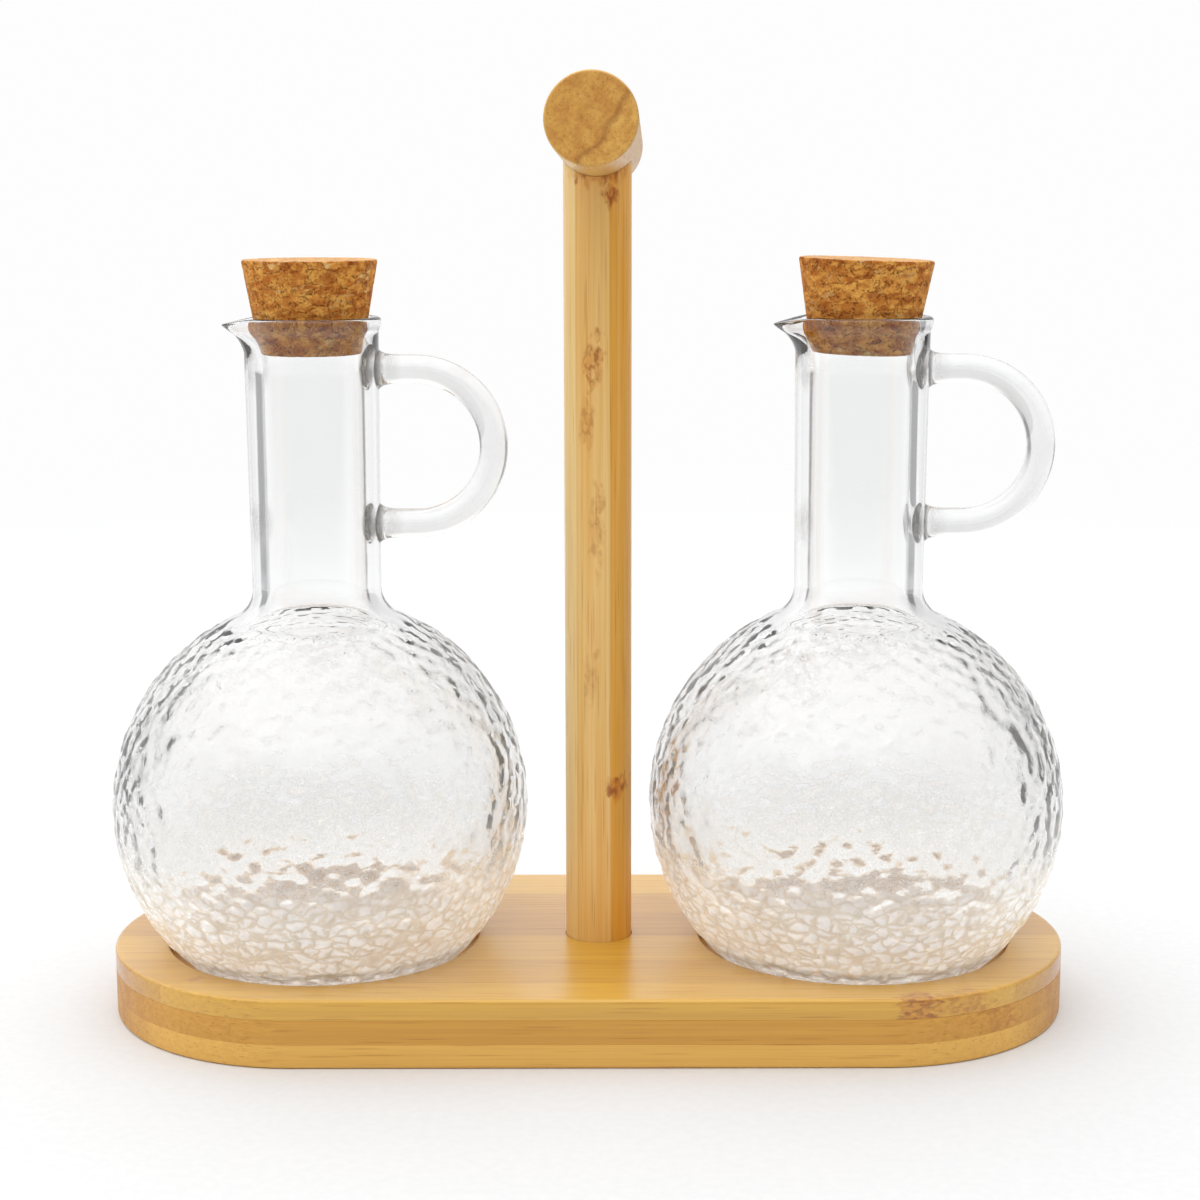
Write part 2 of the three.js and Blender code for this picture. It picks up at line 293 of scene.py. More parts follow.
class Graph:
    """A material's nodes, added one by one."""

    def __init__(self, owner: bpy.types.Material | bpy.types.World) -> None:
        """Empties a material's or world's nodes.

        Args:
            owner: The material or world.
        """
        owner.use_nodes = True
        self.owner = owner
        self.tree = owner.node_tree
        self.tree.nodes.clear()

    @classmethod
    def of_material(cls, name: str) -> "Graph":
        """Starts a new material."""
        return cls(bpy.data.materials.new(name))

    def node(
        self,
        kind: str,
        settings: dict[str, object] | None = None,
        inputs: dict[str | int, object] | None = None,
        output: str | int = 0,
    ) -> Wire:
        """Adds any node.

        Args:
            kind: The node's type, without its ShaderNode prefix.
            settings: Properties, set first. A ramp's stops go under "stops", as
                (position, colour) pairs, and "steps" keeps it from blending them.
            inputs: Values or wires, by socket name or number.
            output: The output socket's name or number.

        Returns:
            The node's output.
        """
        made = self.tree.nodes.new("ShaderNode" + kind)
        for key, value in (settings or {}).items():
            if key == "stops":
                self._set_stops(made.color_ramp, value)
            elif key == "steps":
                made.color_ramp.interpolation = "CONSTANT"
            else:
                setattr(made, key, value)
        for key, value in (inputs or {}).items():
            socket = made.inputs[key]
            if isinstance(value, Wire):
                self.tree.links.new(value.socket, socket)
            else:
                socket.default_value = value
        return Wire(self, made.outputs[output] if made.outputs else None)

    @staticmethod
    def _set_stops(ramp: bpy.types.ColorRamp, stops: list[tuple[float, Colour]]) -> None:
        """Gives a colour ramp its stops, in order.

        Args:
            ramp: The ramp.
            stops: (position, colour) pairs.
        """
        while len(ramp.elements) < len(stops):
            ramp.elements.new(1.0)
        for element, (position, colour) in zip(ramp.elements, stops):
            element.position = position
            element.color = colour

    def place(self, turn: tuple[float, float, float], shift: tuple[float, float, float]) -> Wire:
        """Object coordinates in millimetres, turned and then shifted.

        Args:
            turn: Euler angles, in radians.
            shift: In millimetres.

        Returns:
            The coordinates as a vector.
        """
        coordinates = self.node("TexCoord", output="Object")
        scale = (1 / MM,) * 3
        inputs = {"Vector": coordinates, "Location": shift, "Rotation": turn, "Scale": scale}
        return self.node("Mapping", None, inputs)

    def split(self, vector: Wire) -> tuple[Wire, Wire, Wire]:
        """A vector's three parts.

        Args:
            vector: The vector.

        Returns:
            Its x, y and z.
        """
        made = self.node("SeparateXYZ", None, {0: vector})
        x, y, z = made.socket.node.outputs
        return Wire(self, x), Wire(self, y), Wire(self, z)

    def join(self, x: Wire | float, y: Wire | float, z: Wire | float) -> Wire:
        """A vector made of three values."""
        return self.node("CombineXYZ", None, {0: x, 1: y, 2: z})

    def noise(self, vector: Wire, scale: float, detail: float = 2.0) -> Wire:
        """Perlin noise between about 0.3 and 0.7, with its middle at 0.5."""
        return self.node("TexNoise", None, {"Vector": vector, "Scale": scale, "Detail": detail})

    def length(self, *parts: Wire) -> Wire:
        """The root of the sum of the parts' squares.

        Args:
            parts: Distances along directions at right angles to each other.

        Returns:
            The whole distance.
        """
        total = parts[0] * parts[0]
        for part in parts[1:]:
            total = total + part * part
        return self.node("Math", {"operation": "SQRT"}, {0: total})

    def chance(self, seed: Wire, offset: float) -> Wire:
        """A random value from 0 to 1 for each value of the seed."""
        return self.node("TexWhiteNoise", {"noise_dimensions": "1D"}, {"W": seed + offset})

    def mix(self, share: Wire | float, first: Wire | Colour, second: Wire | Colour) -> Wire:
        """Goes from the first colour to the second as share goes from 0 to 1."""
        settings = {"data_type": "RGBA"}
        return self.node("Mix", settings, {"Factor": share, 6: first, 7: second}, output=2)

    def darken(self, colour: Wire | Colour, share: Wire | float, by: Wire | Colour) -> Wire:
        """Multiplies a colour by another, as far as share says."""
        settings = {"data_type": "RGBA", "blend_type": "MULTIPLY"}
        return self.node("Mix", settings, {"Factor": share, 6: colour, 7: by}, output=2)

    def bump(self, height: Wire, depth: float, strength: float = 1.0) -> Wire:
        """The normal of a surface raised by height times depth, in metres."""
        inputs = {"Height": height, "Distance": depth, "Strength": strength}
        return self.node("Bump", None, inputs)

    def finish(self, **inputs: object) -> bpy.types.Material:
        """Ends the material in a Principled surface.

        Args:
            inputs: Socket values by name, with _ for a space.

        Returns:
            The material.
        """
        named = {key.replace("_", " "): value for key, value in inputs.items()}
        surface = self.node("BsdfPrincipled", None, named)
        self.node("OutputMaterial", None, {"Surface": surface})
        return self.owner


# ---------------------------------------------------------------- finishes


@dataclass(frozen=True)
class Mark:
    """A brown mark where a leaf sheath grew, lying across a strip; on the post, one under the
    crossbar is a painted shadow.

    Attributes:
        along, across: Its middle, in millimetres of the pattern.
        length, width: Half its extent along and across the fibres, in millimetres.
        strength: How dark it is, from 0 to 1.
    """

    along: float
    across: float
    length: float
    width: float
    strength: float = 0.8


@dataclass(frozen=True)
class Bamboo:
    """Lacquered bamboo, laminated from strips whose fibres run along the pattern's X axis.

    The pattern counts strips along its Y axis. Each strip has a tone of its own, fine fibre
    streaks, dark bundles that show as lines along the strip and as dots on its end, a glue line
    to the next, and here and there leaf-sheath marks and painted shadows across it.

    Attributes:
        name: The material's name.
        pale, deep: Colours between which the strips' tones lie.
        strip: Width of a strip, in millimetres.
        turn: Rows of the turn that brings the piece's axes to the pattern's.
        shift: Shift of the pattern, in millimetres.
        seed: Chooses the strips' tones.
        tones: The strips' tones in order, in place of chosen ones.
        marks: The leaf-sheath scars and the painted shadows.
        contrast: How far the strips' tones differ, from 0 to 1.
        wander: How far the joints wander from straight, in millimetres.
        joint: How dark the glue lines are along the strips, from 0 to 1.
        end_joint: How dark and soft they are where the strips are cut across, from 0 to 1.
        end_grain: Colour of the fibres cut across.
        roughness: The lacquer's mean roughness.
        sheen_coat: Weight of the clear coat.
    """

    FIBRE = srgb(222, 184, 124)
    BUNDLE = srgb(186, 132, 70)
    CUT_BUNDLE = srgb(150, 96, 48)
    GLUE = srgb(158, 106, 52)
    # Colours of the leaf-sheath scars, which also paint shadows.
    SCAR_AND_SHADE = srgb(226, 184, 120)
    SCAR_AND_SHADE_FLECK = srgb(180, 128, 70)

    name: str
    pale: Colour
    deep: Colour
    strip: float = 18.0
    turn: tuple[tuple[float, ...], ...] = ((1.0, 0.0, 0.0), (0.0, 1.0, 0.0), (0.0, 0.0, 1.0))
    shift: tuple[float, float, float] = (0.0, 0.0, 0.0)
    seed: float = 0.0
    tones: tuple[float, ...] = ()
    marks: tuple[Mark, ...] = ()
    contrast: float = 0.75
    wander: float = 1.2
    joint: float = 0.4
    end_joint: float = 0.0
    end_grain: Colour = srgb(204, 150, 68)
    roughness: float = 0.42
    sheen_coat: float = 0.2

    def material(self) -> bpy.types.Material:
        """Builds the bamboo's nodes.

        Returns:
            The material.
        """
        g = Graph.of_material(self.name)
        angles = tuple(Matrix(self.turn).to_euler())
        along, across, through = g.split(g.place(angles, self.shift))
        slow = g.noise(g.join(along * 0.01, across * 0.1, through * 0.1), 1.0, 1.0)
        wavy = across + (slow - 0.5) * self.wander
        strip = (wavy / self.strip).floor()
        edge = abs((wavy / self.strip).fract() - 0.5)
        tone = self._tone(g, strip)
        streaks = g.noise(g.join(along * 0.012, across * 1.1, through * 1.1), 1.0, 5.0)
        fibres = g.noise(g.join(along * 0.03, across * 6.0, through * 6.0), 1.0, 2.0)
        inputs = {"Vector": g.join(along * 0.035, across * 1.25, through * 1.25), "Scale": 1.0}
        bundles = g.node("TexVoronoi", None, inputs).step(0.3, 0.12)
        cut = self._cut(g, angles)
        share = (tone - 0.5) * self.contrast + (streaks - 0.5) * 1.2 + 0.5
        colour = g.mix(share, self.pale, self.deep)
        colour = g.darken(colour, fibres.step(0.5, 0.72) * 0.3, self.FIBRE)
        colour = g.darken(colour, bundles * 0.3, self.BUNDLE)
        colour = g.mix(cut * 0.9, colour, self._end_grain(g, across, through, tone))
        colour = g.darken(colour, bundles * cut * 0.35, self.CUT_BUNDLE)
        glue = edge.step(0.5 - 0.16 / self.strip, 0.5 - 0.02 / self.strip) * (1.0 - cut)
        seam = edge.step(0.5 - 1.1 / self.strip, 0.5) * cut
        colour = g.darken(colour, glue * self.joint + seam * self.end_joint, self.GLUE)
        # Scars, and painted shade where a mark stands for a shadow, darken the colour.
        scar_and_shade, flecks = self._scars_and_shade(g, along, across, through)
        colour = g.darken(colour, scar_and_shade * 0.6, self.SCAR_AND_SHADE)
        colour = g.darken(colour, scar_and_shade * flecks * 0.8, self.SCAR_AND_SHADE_FLECK)
        height = fibres * 0.5 + streaks * 0.5 - bundles * 0.3 - glue * 0.6 - scar_and_shade * 0.4
        rough = self.roughness + (fibres - 0.5) * 0.2 + bundles * 0.1 + cut * 0.12
        return g.finish(
            Base_Color=colour, Roughness=rough, Normal=g.bump(height, 0.06 * MM, 0.6),
            Specular_IOR_Level=0.5, Coat_Weight=self.sheen_coat, Coat_Roughness=0.25,
        )

    def _tone(self, g: Graph, strip: Wire) -> Wire:
        """A strip's tone: a chosen one from the list, or one by chance.

        Args:
            g: The material's nodes.
            strip: The strip's number.

        Returns:
            The tone, from 0 to 1.
        """
        if not self.tones:
            return g.chance(strip, self.seed)
        count = len(self.tones)
        stops = [(k / count, (tone, tone, tone, 1.0)) for k, tone in enumerate(self.tones)]
        place = ((strip + 0.5) / count).fract()
        return g.node("ValToRGB", {"stops": stops, "steps": True}, {0: place})

    def _scars_and_shade(
        self, g: Graph, along: Wire, across: Wire, through: Wire
    ) -> tuple[Wire | float, Wire]:
        """All the scars and painted shadows together: soft ragged blots, broken up by darker flecks.

        A blot fades outwards with the sum of the squares of the distances from its middle,
        along and across, each divided by the blot's extent and made ragged by noise.

        Args:
            g: The material's nodes.
            along, across, through: Place in the pattern, in millimetres.

        Returns:
            How strongly a blot and a fleck show, from 0 to 1. Without marks, no blot shows.
        """
        ragged = g.noise(g.join(along * 0.25, across * 0.5, through * 0.7), 1.0, 3.0)
        ragged = (ragged - 0.5) * 4.0
        flecks = g.noise(g.join(along * 0.45, across * 0.8, through * 0.9), 1.0, 3.0)
        blots: Wire | float = 0.0
        for mark in self.marks:
            near = (along - mark.along) / mark.length + ragged
            beside = (across - mark.across) / mark.width + ragged * 0.5
            blot = (near * near + beside * beside).step(1.8, 0.1)
            blots = (blot * mark.strength).most(blots)
        return blots, flecks.step(0.42, 0.62)

    @staticmethod
    def _cut(g: Graph, angles: tuple[float, ...]) -> Wire:
        """How squarely the surface cuts across the fibres, from 0 to 1.

        Args:
            g: The material's nodes.
            angles: Turn that brings the piece's axes to the pattern's.

        Returns:
            1 on an end cut square, 0 along the fibres.
        """
        normal = g.node("TexCoord", output="Normal")
        settings = {"vector_type": "NORMAL"}
        facing, _, _ = g.split(g.node("Mapping", settings, {0: normal, "Rotation": angles}))
        return abs(facing).step(0.6, 0.97)

    def _end_grain(self, g: Graph, across: Wire, through: Wire, tone: Wire) -> Wire:
        """Fibres cut across: mottled in cloudy patches, darker in the deeper strips.

        Args:
            g: The material's nodes.
            across, through: Place in the pattern, in millimetres.
            tone: The strips' tones.

        Returns:
            The colour.
        """
        patches = g.noise(g.join(0.0, across * 0.3, through * 0.3), 1.0, 4.0)
        mottle = g.noise(g.join(0.0, across * 1.1, through * 1.1), 1.0, 3.0)
        ends = g.darken(self.end_grain, patches.step(0.35, 0.65) * 0.5, srgb(214, 170, 112))
        ends = g.darken(ends, mottle.step(0.4, 0.7) * 0.35, srgb(206, 158, 98))
        return g.darken(ends, (1.0 - tone) * self.contrast * 0.5, srgb(222, 188, 136))


@dataclass(frozen=True)
class Cork:
    """Agglomerated cork: pressed granules of several browns with dark crevices between.

    Attributes:
        name: The material's name.
        granule: Size of a large granule, in millimetres.
        shift: Shift of the pattern, in millimetres.
    """

    BROWNS = (
        srgb(166, 100, 38), srgb(222, 150, 66), srgb(244, 182, 90), srgb(206, 134, 58),
        srgb(255, 224, 150),
    )
    GRAIN = srgb(190, 138, 80)
    CREVICE = srgb(150, 94, 46)
    BLOTCH = srgb(196, 146, 96)
    SPECK = srgb(112, 64, 30)
    CUT_FACE = srgb(232, 196, 148)

    name: str = "pressed_cork"
    granule: float = 4.2
    shift: tuple[float, float, float] = (0.0, 0.0, 0.0)

    def material(self) -> bpy.types.Material:
        """Builds the cork's nodes.

        Returns:
            The material.
        """
        g = Graph.of_material(self.name)
        place = g.place(NO_TURN, self.shift)
        bend = g.noise(place, 0.45, 4.0)
        x, y, height = g.split(place)
        warped = g.join(x + bend * 4.0, y - bend * 4.0, height * 1.9 + bend * 3.0)
        large = {"Vector": warped, "Scale": 1 / self.granule}
        tone, _, _ = g.split(g.node("TexVoronoi", None, large, "Color"))
        gaps = g.node("TexVoronoi", {"feature": "DISTANCE_TO_EDGE"}, large)
        small = {"Vector": warped, "Scale": 2.3 / self.granule}
        _, fine_tone, dark_pick = g.split(g.node("TexVoronoi", None, small, "Color"))
        stops = [(k / (len(self.BROWNS) - 1), brown) for k, brown in enumerate(self.BROWNS)]
        colour = g.node("ValToRGB", {"stops": stops}, {0: tone * 0.6 + fine_tone * 0.4})
        grain = g.noise(place, 1.9, 5.0)
        colour = g.darken(colour, grain.step(0.42, 0.72) * 0.45, self.GRAIN)
        crevice = gaps.step(0.12, 0.0) * grain.step(0.48, 0.62)
        colour = g.darken(colour, crevice * 0.35, self.CREVICE)
        blotch = g.noise(g.join(x * 0.3, y * 0.3, height * 0.5), 1.0, 3.0)
        colour = g.darken(colour, blotch.step(0.4, 0.62) * 0.7, self.BLOTCH)
        speck = dark_pick.step(0.84, 0.9) * grain.step(0.4, 0.6) * 0.35
        colour = g.darken(colour, speck, self.SPECK)
        _, _, up = g.split(g.node("TexCoord", output="Normal"))
        colour = g.mix(abs(up).step(0.75, 0.97) * 0.5, colour, self.CUT_FACE)
        relief = grain * 0.5 - crevice * 1.0 - speck * 0.4 + tone * 0.25
        return g.finish(
            Base_Color=colour, Roughness=0.86 - grain * 0.12, Normal=g.bump(relief, 0.25 * MM),
            Specular_IOR_Level=0.2,
        )


@dataclass(frozen=True)
class ClearGlass:
    """Clear soda glass, hammered over the globes.

    Fine wrinkles of the hammered skin give a little scattering of light. The foot's look is
    painted light: a painted glow stands for the light that the thick foot gathers from the whole
    globe and sends out between the ridges of the skin, so it looks pale, and painted tan outlines
    on the ridges stand for the wood seen through it. A pale matt surface, mixed in by a share of
    the light, stands for the scattering, for the foot's painted glow and tan, and for the glass
    that was worked again at the handle and the lip.

    Attributes:
        name: The material's name.
        globe: Distance of the globes' middles from the board's along X, and their height, in
            millimetres.
        radius: The globes' radius, in millimetres.
        neck: The necks' radius, in millimetres.
        handle: Height of the handles' middles and half their welds' distance, in millimetres.
        ripple: Depth of the finest ripples, in metres.
        beaten: Depth of the small dimples between the large ones, in metres.
        cell: Size of a small dimple, in millimetres.
        haze: Share of the light that the skin scatters.
        foot: Further share at the foot, where the matt surface carries the painted glow and tan.
        foot_top: Heights at which the foot's share begins and is full, in millimetres.
        painted_foot_glow: Strength of the painted glow that the foot's share gives off.
        worked: Further share where the handle is welded on and at the root of the lip.
        drawn: Further share in the drawn rod of the handle and the tip of the lip.
    """

    # Painted tan on the foot's ridges, standing for the wood seen through the glass.
    PAINTED_RIDGE_TINT = srgb(218, 205, 184)

    globe: tuple[float, float]
    radius: float
    neck: float
    handle: tuple[float, float]
    name: str = "clear_glass"
    ripple: float = 0.02 * MM
    beaten: float = 0.22 * MM
    cell: float = 4.0
    haze: float = 0.14
    foot: float = 0.3
    foot_top: tuple[float, float] = (56.0, 32.0)
    painted_foot_glow: float = 0.5
    worked: float = 0.25
    drawn: float = 0.09

    def material(self) -> bpy.types.Material:
        """Builds the glass's nodes.

        Returns:
            The material.
        """
        g = Graph.of_material(self.name)
        place = g.place(NO_TURN, NO_TURN)
        waves = g.noise(place, 0.16, 2.0)
        film = g.noise(place, 0.04, 3.0)
        fine = g.noise(place, 0.5, 3.0)
        x, y, height = g.split(place)
        along, up = abs(x) - self.globe[0], height - self.globe[1]
        on_globe = g.length(along, y, up).step(self.radius - 2.2, self.radius - 1.2)
        skin = on_globe * up.step(0.9 * self.radius, 0.75 * self.radius)
        foot = height.step(*self.foot_top) * skin
        bent = g.join(x + (fine - 0.5) * 5.0, y, height * 1.5 + (waves - 0.5) * 6.0)
        cells = {"Vector": bent, "Scale": 1 / self.cell}
        dimples = g.node("TexVoronoi", {"feature": "SMOOTH_F1"}, cells | {"Smoothness": 0.4})
        ridges = g.node("TexVoronoi", {"feature": "DISTANCE_TO_EDGE"}, cells).step(0.26, 0.0)
        relief = waves * (self.ripple / self.beaten) + dimples * skin
        clear = self._clear(g, film, g.bump(relief, self.beaten, 1.0))
        matt_and_painted_glow = self._scatter_and_painted_glow(g, fine, foot, ridges)
        # The foot's further share brings in the painted glow and the painted tan ridges.
        share = skin * (0.7 + fine * 0.6) * self.haze + foot * (0.8 + fine * 0.4) * self.foot
        drawn = abs(along).step(self.neck, self.neck + 1.5)
        drawn = drawn * up.step(self.radius, self.radius + 3.0)
        cloudy = 0.6 + fine * 0.8
        share = share + self._worked(g, along, y, height) * cloudy * self.worked
        share = share + drawn * cloudy * self.drawn
        whole = g.node("MixShader", None, {0: share, 1: clear, 2: matt_and_painted_glow})
        g.node("OutputMaterial", None, {"Surface": whole})
        return g.owner

    @staticmethod
    def _clear(g: Graph, film: Wire, normal: Wire) -> Wire:
        """The clear surface: faintly tinted and, in places, a little less polished.

        Args:
            g: The material's nodes.
            film: Slow noise.
            normal: The surface's normal.

        Returns:
            The surface.
        """
        colour = g.mix(film.step(0.35, 0.65), (0.994, 0.997, 0.997, 1.0), (0.999, 1.0, 1.0, 1.0))
        inputs = {
            "Base Color": colour, "Roughness": film.step(0.55, 0.75) * 0.012, "IOR": 1.48,
            "Transmission Weight": 1.0, "Normal": normal,
        }
        return g.node("BsdfPrincipled", None, inputs)

    def _scatter_and_painted_glow(self, g: Graph, fine: Wire, foot: Wire, ridges: Wire) -> Wire:
        """The pale matt surface, with painted tan ridges and a painted glow of its own at the foot.

        Args:
            g: The material's nodes.
            fine: Fine noise.
            foot: Nearness to the foot, from 0 to 1.
            ridges: Nearness to a ridge between dimples, from 0 to 1.

        Returns:
            The surface.
        """
        pale = g.mix(fine.step(0.3, 0.7), (0.93, 0.93, 0.92, 1.0), (0.99, 0.99, 0.98, 1.0))
        # At the foot this surface is painted light: its ridges are painted tan and it gives off a
        # painted glow.
        pale = g.mix(ridges * foot, pale, self.PAINTED_RIDGE_TINT)
        inputs = {
            "Base Color": pale, "Roughness": 0.6, "Emission Strength": self.painted_foot_glow,
            "Emission Color": g.darken(pale, 1.0, g.join(foot, foot, foot)),
        }
        return g.node("BsdfPrincipled", None, inputs)

    def _worked(self, g: Graph, along: Wire, y: Wire, height: Wire) -> Wire:
        """Nearness to the places where the hot glass was worked again, from 0 to 1.

        Those are the handle's two welds and, level with the upper one, the root of the lip.

        Args:
            g: The material's nodes.
            along, y: Distances from the cruet's axis, in millimetres.
            height: Height above the table, in millimetres.

        Returns:
            The nearness.
        """
        middle_height, half = self.handle
        beside = abs(along) - self.neck
        above = abs(height - middle_height) - half
        return g.length(beside, y, above).step(7.0, 2.5)


@dataclass(frozen=True)
class ZincPlate:
    """Bright zinc plate with fine turning marks and cloudy patches.

    Attributes:
        name: The material's name.
    """

    name: str = "screw_steel"

    def material(self) -> bpy.types.Material:
        """Builds the plate's nodes.

        Returns:
            The material.
        """
        g = Graph.of_material(self.name)
        place = g.place(NO_TURN, NO_TURN)
        clouds = g.noise(place, 0.9, 4.0)
        x, y, z = g.split(place)
        marks = g.noise(g.join(x * 0.4, y * 0.4, z * 14.0), 1.0, 2.0)
        colour = g.mix(clouds.step(0.35, 0.65), srgb(196, 199, 204), srgb(222, 222, 220))
        return g.finish(
            Base_Color=colour, Metallic=1.0, Roughness=0.24 + clouds * 0.2,
            Normal=g.bump(marks, 0.01 * MM, 0.5),
        )


@dataclass(frozen=True)
class PlainHardwood:
    """Turned hardwood, with its grain along Z and short dark pores.

    Attributes:
        name: The material's name.
    """

    name: str = "dowel_wood"

    def material(self) -> bpy.types.Material:
        """Builds the wood's nodes.

        Returns:
            The material.
        """
        g = Graph.of_material(self.name)
        x, y, z = g.split(g.place(NO_TURN, NO_TURN))
        grain = g.noise(g.join(x * 1.2, y * 1.2, z * 0.06), 1.0, 4.0)
        pores = g.noise(g.join(x * 5.0, y * 5.0, z * 0.5), 1.0, 2.0).step(0.6, 0.7)
        colour = g.mix(grain.step(0.3, 0.7), srgb(222, 190, 138), srgb(196, 158, 104))
        colour = g.darken(colour, pores * 0.5, srgb(150, 108, 66))
        return g.finish(
            Base_Color=colour, Roughness=0.62 + grain * 0.15,
            Normal=g.bump(grain - pores * 0.5, 0.05 * MM),
        )


# ---------------------------------------------------------------- dressing


def dress(
    piece: bpy.types.Object, material: bpy.types.Material, body: str, slot: str, *nodes: str
) -> bpy.types.Object:
    """Gives a piece its material and its place in the frame, and reports it.

    Args:
        piece: The piece.
        material: Its material.
        body: The CAD body that it rides on.
        slot: The record's material slot; not used.
        nodes: The CAD nodes that it stands for.

    Returns:
        The piece.
    """
    piece.data.materials.clear()
    piece.data.materials.append(material)
    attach(piece, body)
    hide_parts(*nodes)
    LOG.info("%s: %d faces, rides on %s", piece.name, len(piece.data.polygons), body)
    return piece


def middle(node: str) -> Vector:
    """The middle of a CAD node's box."""
    low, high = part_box(node)
    return (low + high) / 2


def size(node: str) -> Vector:
    """The lengths of a CAD node's box."""
    low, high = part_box(node)
    return high - low


# ---------------------------------------------------------------- the stand


@dataclass
class Crossbar:
    """The round bar that the set is carried by, tied to the post by a dowel.

    Attributes:
        turn: Angle about Z from front to back, in radians.
        rise: Angle by which the front end stands higher, in radians.
        radius: The bar's radius.
        length: Its length.
        edge: Radius of its softened ends.
        dent: Depth of its shallow dents, as a share of the radius.
        hole_gap: Room round the dowel.
        hole_end: Room above the dowel.
    """

    turn: float = math.radians(-1.5)
    rise: float = math.radians(2.4)
    radius: float = 10.53 * MM
    length: float = 99.9 * MM
    edge: float = 0.7 * MM
    dent: float = 0.0025
    hole_gap: float = 0.15 * MM
    hole_end: float = 0.3 * MM

    def __post_init__(self) -> None:
        """Works out where the bar lies."""
        self.centre = middle("crossbar")
        turn = Matrix.Rotation(self.turn, 3, "Z") @ Matrix.Rotation(-self.rise, 3, "X")
        self.axis = turn @ Vector((0, 1, 0))
        self.frame = turn @ Matrix.Rotation(-QUARTER, 3, "X")

    def underside(self, x: Array, y: Array) -> Array:
        """Height of the bar's underside above points of the plane.

        A point of the bar's surface lies a radius away from its axis. With a the axis, d the
        flat offset from the centre and u the height above it, that is
        u^2 (1 - az^2) - 2 u az (d.a) + d.d - (d.a)^2 = r^2, whose lower root is taken.

        Args:
            x, y: Coordinates of the points.

        Returns:
            Heights of the same shape.
        """
        dx, dy = x - self.centre.x, y - self.centre.y
        dot = dx * self.axis.x + dy * self.axis.y
        square = 1 - self.axis.z**2
        rest = dx**2 + dy**2 - dot**2 - self.radius**2
        root = np.sqrt(np.maximum((self.axis.z * dot) ** 2 - square * rest, 0))
        return self.centre.z + (self.axis.z * dot - root) / square

    def build(self) -> bpy.types.Object:
        """The bar: a turned rod with softened ends, laid along its axis and drilled.

        Returns:
            The bar.
        """
        half, edge, radius = self.length / 2, self.edge, self.radius
        profile = np.vstack([
            line((0, -half), (radius - 1.3 * edge, -half), 12),
            arc((radius - edge, edge - half), edge, -QUARTER, 0, 5),
            line((radius, 1.5 * edge - half), (radius, half - 1.5 * edge), 60),
            arc((radius - edge, half - edge), edge, 0, QUARTER, 5),
            line((radius - 1.3 * edge, half), (0, half), 12),
        ])
        grid = turned(profile, 160)
        dents = ValueNoise(9 * MM, 11).at(grid)[..., None].clip(-1, 0)
        grid[..., :2] *= 1 + self.dent * dents
        grid = grid @ np.array(self.frame.transposed()) + np.array(self.centre)
        bar = make_mesh("crossbar_bamboo", [grid])
        self._drill(bar)
        return dress(bar, self._finish().material(), "stand", "crossbar_bamboo", "crossbar")

    def _finish(self) -> Bamboo:
        """Two strips that meet in a slanting glue line, a little off the bar's middle.

        Returns:
            The bamboo.
        """
        slant, off_middle = math.radians(55), 1.1
        across = Vector((math.sin(slant), 0, -math.cos(slant)))
        along = Vector((0, 1, 0))
        seam = across.dot(self.centre) / MM + off_middle
        return Bamboo(
            "crossbar_bamboo", srgb(230, 190, 104), srgb(206, 156, 76), strip=24.0,
            turn=(tuple(along), tuple(across), tuple(along.cross(across))),
            shift=(0.0, -seam, 0.0), tones=(0.85, 0.1), end_grain=srgb(246, 195, 98),
            contrast=1.0, wander=7.0, end_joint=0.45,
        )

    def _drill(self, bar: bpy.types.Object) -> None:
        """Cuts the blind dowel hole up into the bar.

        Args:
            bar: The bar, whose mesh is replaced.
        """
        low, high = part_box("crossbar_dowel")
        post = middle("post")
        radius = (high.x - low.x) / 2 + self.hole_gap
        top = high.z + self.hole_end
        bottom = self.centre.z - 2 * self.radius
        hole = turned(np.array([(0, bottom), (radius, bottom), (radius, top), (0, top)]), 64)
        drill = make_mesh("drill", [hole + np.array([post.x, post.y, 0])])
        cut = bar.modifiers.new("dowel hole", "BOOLEAN")
        cut.object, cut.operation, cut.solver = drill, "DIFFERENCE", "EXACT"
        bpy.context.view_layer.update()
        finished = bar.evaluated_get(bpy.context.evaluated_depsgraph_get())
        drilled = bpy.data.meshes.new_from_object(finished)
        bar.modifiers.clear()
        bar.data = drilled
        bpy.data.objects.remove(drill)


